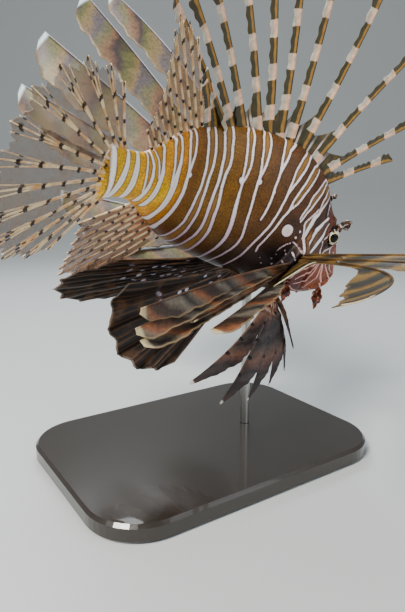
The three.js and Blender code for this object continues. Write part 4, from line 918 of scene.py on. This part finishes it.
def ray_length(path):
    return float(np.linalg.norm(np.diff(on_ray(path, np.linspace(0, 1, 20)), axis=0), axis=1).sum())


def join_grid(bm, columns, rows, place, lie, material_index=0, thickness=None, tube=False):
    """Adds a laid grid to a bmesh, as a closed sheet or as a tube welded down its seam.
    lie(u, v) gives each vertex the numbers that its material reads."""
    part = bmesh.new()
    layer = part.verts.layers.float_vector.new("lie")
    made = bmesh.ops.create_grid(part, x_segments=columns, y_segments=rows, size=0.5)["verts"]
    u = np.array([vert.co.x for vert in made]) + 0.5
    v = np.array([vert.co.y for vert in made]) + 0.5
    for vert, point, facts in zip(made, settled(place(u, v)), lie(u, v)):
        vert.co = point
        vert[layer] = facts
    if tube:
        bmesh.ops.remove_doubles(part, verts=part.verts, dist=2e-6)
        bmesh.ops.holes_fill(part, edges=[edge for edge in part.edges if edge.is_boundary])
    else:
        bmesh.ops.solidify(part, geom=part.faces[:], thickness=thickness)
    bmesh.ops.recalc_face_normals(part, faces=part.faces)
    for face in part.faces:
        face.material_index = material_index
        face.smooth = True
    mesh = bpy.data.meshes.new("part")
    part.to_mesh(mesh)
    part.free()
    bm.from_mesh(mesh)
    bpy.data.meshes.remove(mesh)


def spine_body(path, trailing, reach, radius, shift):
    """A spine, round in front and drawn out to a thin skin behind. Its bands start at shift."""
    length = ray_length(path)

    def lay(u, v):
        angle = u * 2 * np.pi
        way = ray_way(path, v)
        side = unit(trailing - way * (trailing * way).sum(-1, keepdims=True))
        normal = np.cross(way, side)
        out = np.cos(angle)
        far = np.where(out > 0, reach(v), radius(v))
        thick = radius(v) * np.sin(angle) * np.where(out > 0, (1 - out) ** 0.5 * 0.8 + 0.2, 1)
        return on_ray(path, v) + side * (out * far)[:, None] + normal * thick[:, None]

    def lie(u, v):
        return np.column_stack([v * length + shift, np.maximum(0, np.cos(u * 2 * np.pi)), v])

    return lay, lie


def lie_part(tree, axis):
    """One of the three numbers that a vertex's lie holds."""
    return node(tree, "SeparateXYZ", {0: attribute(tree, "lie", "Vector")}).outputs[axis]


def off_middle(tree, metres, streak, ragged, gap):
    """How far a place is from the middle of its band, 0 to 0.5, where one band fills each gap."""
    run = calc(tree, "MULTIPLY_ADD", streak, ragged, metres)
    turn = calc(tree, "FRACT", calc(tree, "DIVIDE", run, gap))
    return calc(tree, "ABSOLUTE", calc(tree, "SUBTRACT", turn, 0.5))


spine_skin, tree, shader = new_material("spine_skin", Roughness=0.4, Coat_Weight=0.15,
                                        Subsurface_Weight=0.08, Subsurface_Scale=0.002)
metres = lie_part(tree, "X")
behind = lie_part(tree, "Y")
streak = mottling(tree, 300.0, 3.0)
on_vane = step(tree, behind, 0.3, 0.6)
past_rod = step(tree, behind, 0.02, 0.1)
on_line = calc(tree, "MULTIPLY", past_rod, step(tree, on_vane, 0.0, 0.6, 1.0, 0.0))
dark_band = mixed(tree, on_line, paint((50, 44, 12)), paint((150, 106, 30)))
pale_band = mixed(tree, on_vane, paint((232, 184, 150)), paint((176, 168, 152)))
in_pale = step(tree, off_middle(tree, metres, streak, 0.0024, BAND_GAP), 0.29, 0.32)
spine_colour = mixed(tree, in_pale, dark_band, pale_band)
spine_colour = grey_times(tree, spine_colour, step(tree, streak, 0.3, 0.7, 0.78, 1.2))
tree.links.new(spine_colour, shader.inputs["Base Color"])
emboss(tree, shader, streak, 0.25, 0.0003)

web_skin, tree, shader = new_material("web_skin", Roughness=0.42)
cloud = mottling(tree, 160.0, 4.0)
web_colour = mixed(tree, step(tree, cloud, 0.4, 0.62), paint((46, 38, 12)), paint((88, 68, 26)))
line_edge = calc(tree, "ADD", lie_part(tree, "X"), calc(tree, "MULTIPLY_ADD", cloud, 0.8, -0.4))
white_line = calc(tree, "MULTIPLY", step(tree, line_edge, 0.5, 1.0, 1.0, 0.0),
                  step(tree, lie_part(tree, "Z"), 0.5, 0.9, 1.0, 0.2))
web_colour = mixed(tree, white_line, web_colour, paint((232, 214, 208)))
tree.links.new(web_colour, shader.inputs["Base Color"])

spine_paths = [mid_ray(s, float(along(TOP_LINE, s)), lean, length * BODY_LENGTH, -6 if lean < 0 else 3)
               for s, lean, length in DORSAL_SPINES]
bm = bmesh.new()
for index, path in enumerate(spine_paths):
    pair = min(index, len(spine_paths) - 2)
    trailing = unit(way_to(*spine_paths[pair:pair + 2]))

    def reach(t):
        ragged = 1 + 0.1 * np.sin(t * 90 + index)
        return SPINE_VANE * along(SPINE_REACH, t) * ragged * (1 - 0.5 * smooth_step((0.1 - t) / 0.1))

    def radius(t):
        return SPINE_RADIUS * (1.25 - 0.95 * np.asarray(t))

    lay, lie = spine_body(path, trailing, reach, radius, BAND_GAP * ((index * BAND_STEP) % 1))
    join_grid(bm, SPINE_SIDES, SPINE_ROWS, lay, lie, 0, tube=True)
line_tops = np.array([points[0][0] for widths, points in LINES if points[0][1] > 0.15])
for index, (path, behind) in enumerate(zip(spine_paths[:-1], spine_paths[1:])):
    front, rear = WEB_HEIGHTS if index < REAR_WEB_FROM else REAR_WEB_HEIGHTS
    start, end = DORSAL_SPINES[index][0], DORSAL_SPINES[index + 1][0]

    def lay_web(u, v):
        return between(path, behind, v * (rear + (front - rear) * (1 - u) ** WEB_DIP), u)

    def web_lie(u, v):
        s = start + (end - start) * u
        away = np.min(np.abs(s[:, None] - line_tops[None, :]), axis=1) * SHARE_MM
        return np.column_stack([away, u, v])

    join_grid(bm, WEB_COLUMNS, WEB_ROWS, lay_web, web_lie, 1, thickness=WEB_THICK)
dorsal = piece_from(bm, "dorsal_spines", spine_skin, web_skin)
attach(dorsal, "root")
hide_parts("spiny_dorsal_fin")

# Soft dorsal, anal and tail fins: clear membranes stretched on slender rays that fork toward the
# margin, cream and pink with rows of dark dots.
RAY_RADIUS = 0.00085
FORK_AT = 0.5
FILM_THICK = 0.0005
FILM_COLUMNS, FILM_ROWS = 10, 40
FILM_NOTCH = 0.07
FILM_BOW = 0.0009
DOT_GAP = 0.0135
SOFT_DORSAL = {"from": 0.702, "to": 0.872, "rays": 11,
               "lengths": [(0, 0.22), (0.15, 0.28), (0.25, 0.285), (0.6, 0.16), (1, 0.075)],
               "leans": [(0, 44), (0.3, 53), (1, 60)]}
ANAL = {"from": 0.652, "to": 0.842, "rays": 10,
        "lengths": [(0, 0.11), (0.12, 0.19), (0.3, 0.275), (0.6, 0.25), (1, 0.2)],
        "leans": [(0, 42), (0.3, 55), (0.7, 65), (1, 76)]}
TAIL = {"rays": 13, "spread": 47, "curl": 4, "root": 0.985,
        "lengths": [(0, 0.345), (0.4, 0.33), (0.7, 0.26), (1, 0.15)]}


def middle_fin_rays(profile, fin):
    rays = []
    for t in np.linspace(0, 1, fin["rays"]):
        s = fin["from"] + (fin["to"] - fin["from"]) * t
        length = float(along(fin["lengths"], t)) * BODY_LENGTH
        rays.append(mid_ray(s, float(along(profile, s)), float(along(fin["leans"], t)), length))
    return rays


def tail_fin_rays():
    turn = float(heading(1.0))
    rays = []
    for t in np.linspace(-1, 1, TAIL["rays"]):
        ways = []
        for curl in (-TAIL["curl"], TAIL["curl"]):
            angle = math.radians(-(TAIL["spread"] + curl) * t)
            ways.append(np.array([-math.cos(turn) * math.cos(angle), -math.sin(turn) * math.cos(angle),
                                  math.sin(angle)]))
        length = float(along(TAIL["lengths"], abs(t))) * BODY_LENGTH + SUNK
        rays.append(ray_path(fish(TAIL["root"], 0, -0.05 * t), ways[0], ways[1], length))
    return rays


def ray_rod(bm, path, radius, shift, sides=8, rows=60, material_index=1):
    """A round tapered ray along its path. Its pattern starts at shift metres."""
    length = ray_length(path)

    def lay(u, v):
        way = ray_way(path, v)
        side = unit(np.cross(way, (0.13, 0.97, 0.21)))
        normal = np.cross(way, side)
        thick = radius(v)[:, None]
        return (on_ray(path, v) + side * thick * np.cos(u * 2 * np.pi)[:, None]
                + normal * thick * np.sin(u * 2 * np.pi)[:, None])

    def lie(u, v):
        return np.column_stack([v * length + shift, np.zeros(u.shape), v])

    join_grid(bm, sides, rows, lay, lie, material_index, tube=True)


def clear_fin(name, rays, cad_node, web):
    bm = bmesh.new()
    for index, (path, after) in enumerate(zip(rays[:-1], rays[1:])):
        length = (ray_length(path) + ray_length(after)) / 2

        def lay(u, v):
            t = v * (1 - FILM_NOTCH * np.sin(np.pi * u) * (1 + 0.4 * np.sin(23 * u + index)))
            bow = FILM_BOW * np.sin(np.pi * u) * np.sin(np.pi * v)
            facing = unit(np.cross(path[2] - path[0], way_to(path, after)))
            return between(path, after, t, u) + facing * (bow - FILM_THICK / 2)[:, None]

        def lie(u, v):
            nearest = np.minimum(u, 1 - u) * np.linalg.norm(on_ray(after, v) - on_ray(path, v), axis=-1)
            shift = (np.where(u < 0.5, index, index + 1) % 2) * DOT_GAP / 2
            return np.column_stack([v * length + shift, nearest, v])

        join_grid(bm, FILM_COLUMNS, FILM_ROWS, lay, lie, 0, thickness=FILM_THICK)
    for index, path in enumerate(rays):
        shift = (index % 2) * DOT_GAP / 2
        ray_rod(bm, path, lambda t: RAY_RADIUS * (1.1 - 0.8 * t), shift)
        for toward in (-1, 1):
            neighbour = rays[min(max(index + toward, 0), len(rays) - 1)]
            if neighbour is path:
                continue
            fork = path.copy()
            fork[0] = on_ray(path, FORK_AT)
            fork[1] = on_ray(path, 0.72) * 0.9 + on_ray(neighbour, 0.72) * 0.1
            fork[2] = on_ray(path, 0.97) * 0.76 + on_ray(neighbour, 0.97) * 0.24
            run = shift + ray_length(path) * FORK_AT
            ray_rod(bm, fork, lambda t: RAY_RADIUS * (0.62 - 0.4 * t), run, sides=6, rows=30)
    fin = piece_from(bm, name, web, dotted_ray)
    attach(fin, "root")
    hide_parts(cad_node)


def dot_mask(tree, streak):
    """1 on the dark dots along the rays, 0 elsewhere."""
    off_dot = off_middle(tree, lie_part(tree, "X"), streak, 0.0012, DOT_GAP)
    return step(tree, off_dot, 0.075, 0.11, 1.0, 0.0)


def clear_web(name, tint, base, base_to, low_veil, high_veil):
    """A see-through membrane, tinted toward its base, that carries the dots beside its rays."""
    material, tree, shader = new_material(name, Roughness=0.35)
    cloud = mottling(tree, 140.0, 4.0)
    blobs = mottling(tree, 75.0, 1.0)
    near_ray = step(tree, lie_part(tree, "Y"), 0.0009, 0.0014, 1.0, 0.0)
    dots = calc(tree, "MULTIPLY", dot_mask(tree, cloud), near_ray)
    basal = step(tree, lie_part(tree, "Z"), 0.0, base_to, 1.0, 0.0)
    film = mixed(tree, step(tree, cloud, 0.4, 0.62), paint(tuple(0.8 * c for c in tint)), paint(tint))
    film = mixed(tree, calc(tree, "MULTIPLY", basal, 0.9), film, paint(base))
    pale = calc(tree, "MULTIPLY", step(tree, blobs, 0.6, 0.64), basal)
    film = mixed(tree, pale, film, paint((240, 226, 220)))
    film = mixed(tree, dots, film, paint((40, 22, 18)))
    tree.links.new(film, shader.inputs["Base Color"])
    veil = step(tree, cloud, 0.35, 0.7, low_veil, high_veil)
    veil = calc(tree, "MAXIMUM", veil, calc(tree, "MULTIPLY", basal, 0.92))
    tree.links.new(calc(tree, "MAXIMUM", veil, dots), shader.inputs["Alpha"])
    return material


dotted_ray, tree, shader = new_material("dotted_ray", Roughness=0.4)
streak = mottling(tree, 140.0, 4.0)
cream = mixed(tree, step(tree, streak, 0.4, 0.6), paint((206, 158, 106)), paint((232, 208, 164)))
cream = mixed(tree, dot_mask(tree, streak), cream, paint((34, 20, 16)))
tree.links.new(cream, shader.inputs["Base Color"])

SOFT_WEB = clear_web("soft_dorsal_web", (160, 124, 92), (170, 104, 34), 0.22, 0.35, 0.55)
ANAL_WEB = clear_web("anal_web", (156, 116, 92), (168, 88, 26), 0.42, 0.5, 0.74)
TAIL_WEB = clear_web("tail_web", (138, 114, 92), (206, 128, 24), 0.1, 0.3, 0.5)

clear_fin("soft_dorsal_veil", middle_fin_rays(TOP_LINE, SOFT_DORSAL), "soft_dorsal_fin", SOFT_WEB)
clear_fin("anal_veil", middle_fin_rays(BELLY_LINE, ANAL), "anal_fin", ANAL_WEB)
clear_fin("tail_veil", tail_fin_rays(), "tail_fin", TAIL_WEB)

# Pelvic fins: a strong spine and five branched rays in a dark, fleshy membrane with a scalloped
# pale rim and scattered pale spots.

# Each ray's angles out and down, and its length in metres.
PELVIC_RIGHT = [(38, 68, 0.080), (29, 62, 0.092), (20, 54, 0.098), (14, 44, 0.098), (12, 31, 0.094),
                (16, 17, 0.086)]
PELVIC_LEFT = [(30, 46, 0.100), (22, 42, 0.116), (16, 37, 0.122), (11, 32, 0.118), (8, 27, 0.104),
               (6, 22, 0.090)]
PELVIC_ROOT = (0.36, 0.03, -0.155)
PELVIC_STEP = 0.008
PELVIC_CURVE = (4, 3)
PELVIC_BULGE = 0.05
PELVIC_FOLD = 0.0016
PELVIC_COLUMNS, PELVIC_ROWS = 14, 60
PELVIC_RAY, PELVIC_SPINE = 0.0012, 0.0016


def direction(side, out, down):
    """A way in the fish's space: back, turned out to a side and down by angles in degrees."""
    out, down = math.radians(out), math.radians(down)
    return np.array([-math.cos(down) * math.cos(out), side * math.cos(down) * math.sin(out),
                     -math.sin(down)])


dark_web, tree, shader = new_material("dark_web", Roughness=0.45, Specular_IOR_Level=0.35)
share = lie_part(tree, "X")
place = lie_part(tree, "Z")
cloud = mottling(tree, 90.0, 5.0)
dark = mixed(tree, step(tree, cloud, 0.45, 0.68), paint((18, 12, 11)), paint((54, 34, 24)))
branches = calc(tree, "SINE", calc(tree, "MULTIPLY", place, 8 * math.pi))
branches = step(tree, branches, 0.3, 0.95, 0.0, 0.3)
outer_branches = calc(tree, "MULTIPLY", branches, step(tree, share, 0.3, 0.8))
dark = mixed(tree, outer_branches, dark, paint((112, 78, 50)))
on_fan = node(tree, "CombineXYZ", {"X": calc(tree, "MULTIPLY", share, 11.0),
                                   "Y": calc(tree, "MULTIPLY", place, 1.3)}).outputs["Vector"]
freckles = node(tree, "TexVoronoi", {"Vector": on_fan, "Scale": 1.0},
                voronoi_dimensions="2D").outputs["Distance"]
spots = calc(tree, "MULTIPLY", step(tree, freckles, 0.13, 0.2, 1.0, 0.0),
             step(tree, share, 0.55, 0.7, 1.0, 0.0))
mottled = calc(tree, "MULTIPLY", step(tree, cloud, 0.54, 0.64, 0.0, 0.5),
               step(tree, share, 0.4, 0.7))
dark = mixed(tree, mottled, dark, paint((92, 62, 34)))
dark = mixed(tree, spots, dark, paint((206, 196, 222)))
rim = step(tree, calc(tree, "MULTIPLY_ADD", cloud, 0.01, share), 0.99, 0.996, 0.0, 0.4)
dark = mixed(tree, rim, dark, paint((150, 132, 118)))
tree.links.new(dark, shader.inputs["Base Color"])
emboss(tree, shader, branches, 0.5, 0.0005)

dark_ray, tree, shader = new_material("dark_ray", Roughness=0.42)
streak = mottling(tree, 120.0, 3.0)
shade = colours_along(tree, streak, [(0.35, paint((24, 16, 16))), (0.68, paint((118, 84, 56)))])
tree.links.new(shade, shader.inputs["Base Color"])


def dark_fin(name, cad_node, side, ways):
    bm = bmesh.new()
    rays = []
    for index, (out, down, length) in enumerate(ways):
        root = fish(PELVIC_ROOT[0] + PELVIC_STEP * index, side * PELVIC_ROOT[1], PELVIC_ROOT[2])
        start_way = direction(side, out + PELVIC_CURVE[0], down + PELVIC_CURVE[1])
        end_way = direction(side, out - PELVIC_CURVE[0], down - PELVIC_CURVE[1])
        rays.append(ray_path(root, start_way, end_way, length))
    for index, (path, after) in enumerate(zip(rays[:-1], rays[1:])):
        def lay(u, v):
            t = v * (1 + PELVIC_BULGE * np.sin(np.pi * u) - 0.006 * np.abs(np.sin(4 * np.pi * u)))
            facing = unit(np.cross(path[2] - path[0], way_to(path, after)))
            fold = (PELVIC_FOLD * np.sin(2 * np.pi * u) + 0.0005 * np.sin(21 * v + 3 * index)) * v
            return between(path, after, t, u) + facing * (fold * np.sin(np.pi * u))[:, None]

        def lie(u, v):
            return np.column_stack([v, u, index + u])

        join_grid(bm, PELVIC_COLUMNS, PELVIC_ROWS, lay, lie, 0, thickness=WEB_THICK)
    for index, path in enumerate(rays):
        foot = PELVIC_RAY if index else PELVIC_SPINE
        ray_rod(bm, path, lambda t: foot * (1.05 - 0.8 * t), index * 0.3)
    fin = piece_from(bm, name, dark_web, dark_ray)
    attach(fin, "root")
    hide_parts(cad_node)


dark_fin("pelvic_fan_right", "pelvic_fin_right", -1, PELVIC_RIGHT)
dark_fin("pelvic_fan_left", "pelvic_fin_left", 1, PELVIC_LEFT)

# Pectoral fins: long plumes above and shorter fingers below, each a ray with a soft vane on one
# side, joined to the next near the root and free beyond it, crossed by bands of colour.

# Rows hold place on the lobe, length and vane width in millimetres, and the out and down angles
# that the ray starts and ends with.
PECTORALS = {
    "upper_right": [(0.04, 190, 8, 87, 88, -27, -28), (0.11, 186, 9, 82, 84, -24, -25),
                    (0.2, 214, 24, 89, 27, -26, 9)],
    "middle_right": [(0.29, 158, 10, 29, 27, 5, 17), (0.36, 156, 10, 32, 24, 8, 22),
                     (0.43, 122, 10, 38, 29, 9, 18), (0.5, 148, 12, 33, 25, 13, 21),
                     (0.57, 112, 13, 42, 34, 12, 15)],
    "lower_right": [(0.68, 108, 13, 58, 12, 37, 49), (0.75, 104, 13, 68, 40, 35, 58),
                    (0.81, 92, 11, 80, 65, 36, 61), (0.87, 76, 9, 104, 86, 40, 60),
                    (0.93, 65, 8, 122, 104, 36, 53), (0.975, 54, 6, 126, 90, 27, 30)],
    "upper_left": [(0.04, 212, 12, 46, 40, -42, -10), (0.11, 215, 17, 43, 40, -26, -18),
                   (0.18, 217, 20, 38, 39, -15, -9), (0.26, 212, 17, 39, 36, -3, 0),
                   (0.34, 192, 9, 40, 40, 6, 2)],
    "middle_left": [(0.45, 168, 14, 46, 46, 16, 20), (0.53, 150, 14, 50, 50, 26, 31),
                    (0.6, 132, 9, 55, 54, 34, 39)],
    "lower_left": [(0.72, 108, 12, 62, 54, 46, 52), (0.78, 98, 12, 70, 62, 50, 58),
                   (0.84, 90, 10, 80, 74, 50, 58), (0.89, 80, 8, 92, 86, 48, 55),
                   (0.94, 70, 7, 102, 96, 44, 50), (0.98, 60, 6, 112, 106, 38, 43)],
}
VANES = {
    "plume": {"web": 0.25, "ridge": 0.00105,
              "widths": [(0, 0.1), (0.2, 0.6), (0.45, 1), (0.75, 1.02), (0.9, 0.95), (0.97, 0.7),
                         (1, 0.3)]},
    "folded": {"web": 0.25, "ridge": 0.0012,
               "widths": [(0, 0.05), (0.36, 0.14), (0.5, 0.75), (0.62, 1), (0.88, 0.95), (1, 0.5)]},
    "finger": {"web": 0.32, "ridge": 0.001,
               "widths": [(0, 0.1), (0.25, 0.7), (0.5, 1), (0.7, 0.9), (0.88, 0.45), (1, 0.1)]},
}
FOLD_BACK = np.array([-0.78, 0.4, -0.48])
SHINGLE = math.radians(24)
RIPPLES = 11
VANE_THICK = 0.0005
VANE_COLUMNS, VANE_ROWS = 10, 90
VANE_STEP = 0.31
ROOT_OUT = LOBE_OUT - 0.004
WAVES = {"right": {"upper": 0.001, "middle": 0.0016, "lower": 0.0006},
         "left": {"upper": 0.0016, "middle": 0.0016, "lower": 0.0006}}
PLUME_SPREAD = 1.4
FINGER_SPREAD = 0.86


def lobe_line(side, share, out):
    s = LOBE_TOP[0] + (LOBE_FOOT[0] - LOBE_TOP[0]) * share
    z = LOBE_TOP[1] + (LOBE_FOOT[1] - LOBE_TOP[1]) * share
    return fish(s, side * half_width_at(s, z), z) + LOBE_WAY * (1, side, 1) * out


def vane_sheet(bm, path, after, trailing, form, width, wave, shift):
    """One ray's vane: joined to the next ray near the root, hanging free with a wavy edge beyond.
    The last ray has no next one, and its vane is free from the root."""
    shape = VANES[form]
    length = ray_length(path)

    def lay(u, v):
        place = on_ray(path, v)
        way = ray_way(path, v)
        if after is None:
            room = np.broadcast_to(trailing * BODY_LENGTH, place.shape)
            joined = np.zeros(v.shape)
        else:
            room = on_ray(after, v) - place
            joined = 1 - smooth_step((v - shape["web"] + 0.04) / 0.06)
        side = room / BODY_LENGTH * joined[:, None] + trailing * (1 - joined[:, None])
        side = unit(side - way * (side * way).sum(-1, keepdims=True))
        normal = np.cross(way, side)
        across = room - way * (room * way).sum(-1, keepdims=True)
        spacing = np.linalg.norm(across, axis=-1)
        free = along(shape["widths"], v) * width
        free = np.minimum(free, width if after is None else spacing * 0.92)
        scallop = 1 + 0.05 * np.sin(v * 47 + shift * 250) + 0.03 * np.sin(v * 113)
        reach = free * scallop * (1 - joined) + spacing * joined
        lift = SHINGLE * (1 - joined)
        ripple = (1 - joined) * wave * v * np.sin(RIPPLES * v)
        cup = 0.04 * reach * np.sin(np.pi * u)
        out = (reach * np.cos(lift) * u)[:, None]
        up = (reach * np.sin(lift) * u + ripple * u + cup)[:, None]
        return place + side * out + normal * up

    def lie(u, v):
        return np.column_stack([v * length + shift, u, v])

    join_grid(bm, VANE_COLUMNS, VANE_ROWS, lay, lie, 0, thickness=VANE_THICK)


def vane_colours(name, bands, period, rim, ray, tip, tip_from=0.97, dots=None, base=None):
    """Materials of a vane and of its ray: bands of colour along it, a paler rim, a tip of its own
    colour, and for the fingers dots beside the ray and striped bases."""
    made = []
    for part in ("vane", "ray"):
        material, tree, shader = new_material(name + "_" + part, Roughness=0.45,
                                              Specular_IOR_Level=0.35, Subsurface_Weight=0.04,
                                              Subsurface_Scale=0.0015)
        metres, across, share = (lie_part(tree, axis) for axis in "XYZ")
        cloud = mottling(tree, 75.0, 5.0)
        fine = mottling(tree, 520.0, 3.0)
        run = calc(tree, "MULTIPLY_ADD", cloud, period * 0.5, metres)
        run = calc(tree, "MULTIPLY_ADD", across, period * 0.28, run)
        turn = calc(tree, "FRACT", calc(tree, "DIVIDE", run, period))
        stops = [(index / len(bands), paint(tint)) for index, tint in enumerate(bands)]
        whole = colours_along(tree, turn, stops + [(1, paint(bands[0]))])
        whole = grey_times(tree, whole, step(tree, fine, 0.3, 0.7, 0.78, 1.22))
        if base:
            stripes = calc(tree, "SINE", calc(tree, "MULTIPLY", metres, 1100.0))
            striped = mixed(tree, step(tree, stripes, -0.2, 0.4), paint(base), paint((236, 214, 190)))
            whole = mixed(tree, step(tree, share, 0.2, 0.36, 0.8, 0.0), whole, striped)
        if part == "ray":
            whole = mixed(tree, 0.6, whole, paint(ray))
        else:
            whole = mixed(tree, step(tree, across, 0.88, 0.98, 0.0, 0.55), whole, paint(rim))
        if dots:
            beside = step(tree, across, 0.2, 0.26, 1.0, 0.0)
            dotted = calc(tree, "MULTIPLY", dot_mask(tree, fine), beside)
            whole = mixed(tree, dotted, whole, paint(dots))
            whole = mixed(tree, step(tree, share, 0.78, 0.84, 0.0, 0.8), whole, paint((34, 24, 26)))
        at_tip = step(tree, share, tip_from, tip_from + 0.015, 0.0, 0.85)
        whole = mixed(tree, at_tip, whole, paint(tip))
        tree.links.new(whole, shader.inputs["Base Color"])
        emboss(tree, shader, fine, 0.3, 0.0003)
        made.append(material)
    return made


SLATE_PLUME = vane_colours("slate_plume", [(104, 80, 34), (50, 46, 30), (34, 40, 38), (24, 27, 26),
                                           (60, 48, 24), (116, 90, 40)], 0.030,
                           (122, 100, 68), (74, 50, 26), (186, 168, 136))
WARM_PLUME = vane_colours("warm_plume", [(58, 42, 34), (126, 78, 50), (92, 84, 70), (36, 34, 38),
                                         (108, 100, 88), (44, 34, 30)], 0.040,
                          (160, 132, 92), (96, 64, 42), (196, 180, 140), tip_from=0.972)
FAR_PLUME = vane_colours("far_plume", [(86, 82, 88), (118, 102, 74), (86, 88, 56), (58, 52, 56),
                                       (112, 88, 70), (98, 98, 74)], 0.055,
                         (130, 108, 82), (176, 176, 198), (206, 226, 236), tip_from=0.975)
FINGER = vane_colours("finger", [(64, 56, 54), (36, 32, 34), (76, 64, 58), (108, 76, 62), (80, 58, 52),
                                 (38, 34, 36)], 0.034, (44, 34, 38), (136, 98, 80), (232, 220, 212),
                      dots=(18, 10, 12), base=(164, 84, 40))
PLUME_LOOKS = {("upper", "right"): SLATE_PLUME, ("middle", "right"): WARM_PLUME}


def make_pectoral(part, name):
    side = 1 if name == "left" else -1
    ways = PECTORALS[part + "_" + name]
    rays = []
    for place, length, _, out_start, out_end, down_start, down_end in ways:
        root = lobe_line(side, place, ROOT_OUT)
        start_way = direction(side, out_start, down_start)
        rays.append(ray_path(root, start_way, direction(side, out_end, down_end), length / 1000))
    form = "finger" if part == "lower" else "plume"
    folded = part == "upper" and name == "right"
    spread = FINGER_SPREAD if part == "lower" else PLUME_SPREAD if name == "left" else 1
    bm = bmesh.new()
    for index, path in enumerate(rays):
        pair = min(index, len(rays) - 2)
        trailing = unit(FOLD_BACK if folded else way_to(*rays[pair:pair + 2]))
        after = rays[index + 1] if index + 1 < len(rays) else None
        shape = "folded" if folded and after is None else form
        shift = (index * VANE_STEP) % 1 * BAND_GAP
        width = ways[index][2] / 1000 * spread
        vane_sheet(bm, path, after, trailing, shape, width, WAVES[name][part], shift)
        ridge = VANES[shape]["ridge"]
        ray_rod(bm, path, lambda t: ridge * (1 - 0.72 * t), shift, rows=80)
    materials = PLUME_LOOKS.get((part, name), FINGER if part == "lower" else FAR_PLUME)
    fin = piece_from(bm, f"{form}_fan_{part}_{name}", *materials)
    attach(fin, "root")
    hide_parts(f"pectoral_{part}_{name}")


for part in ("upper", "middle", "lower"):
    for name in ("right", "left"):
        make_pectoral(part, name)

# The web between the upper and middle plumes of the right pectoral fin: an unfolded skin in bands of
# dark olive, ochre and slate that follow its free edge, which is pale.
WEB_FROM, WEB_TO = 0.2, 0.57
WEB_WAYS = ((89, -26, 0.021), (44, 12, 0.034))
WEB_LIFT = 15
WEB_GRID = 24
WEB_BANDS = [(0, (44, 34, 24)), (0.3, (44, 38, 22)), (0.42, (84, 66, 28)), (0.55, (44, 40, 26)),
             (0.66, (140, 100, 32)), (0.72, (66, 50, 30)), (0.78, (32, 30, 30)), (0.97, (40, 40, 38)),
             (1, (196, 196, 150))]

right_web, tree, shader = new_material("right_web", Roughness=0.45, Specular_IOR_Level=0.3)
outward = calc(tree, "MULTIPLY_ADD", mottling(tree, 90.0, 4.0), 0.12, lie_part(tree, "Z"))
bands = colours_along(tree, outward, [(place, paint(colour)) for place, colour in WEB_BANDS])
tree.links.new(bands, shader.inputs["Base Color"])


def lay_right_web(u, v):
    points = []
    (out_a, down_a, reach_a), (out_b, down_b, reach_b) = WEB_WAYS
    for turn, out in zip(u, v):
        root = lobe_line(-1, WEB_FROM + (WEB_TO - WEB_FROM) * turn, ROOT_OUT)
        down = down_a + (down_b - down_a) * turn - WEB_LIFT * math.sin(math.pi * turn)
        way = direction(-1, out_a + (out_b - out_a) * turn, down)
        points.append(root + way * (reach_a + (reach_b - reach_a) * turn) * out)
    return np.array(points)


bm = bmesh.new()
join_grid(bm, WEB_GRID, WEB_GRID, lay_right_web, lambda u, v: np.column_stack([u, u, v]),
          thickness=VANE_THICK)
web_sheet = piece_from(bm, "right_web_sheet", right_web)
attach(web_sheet, "root")
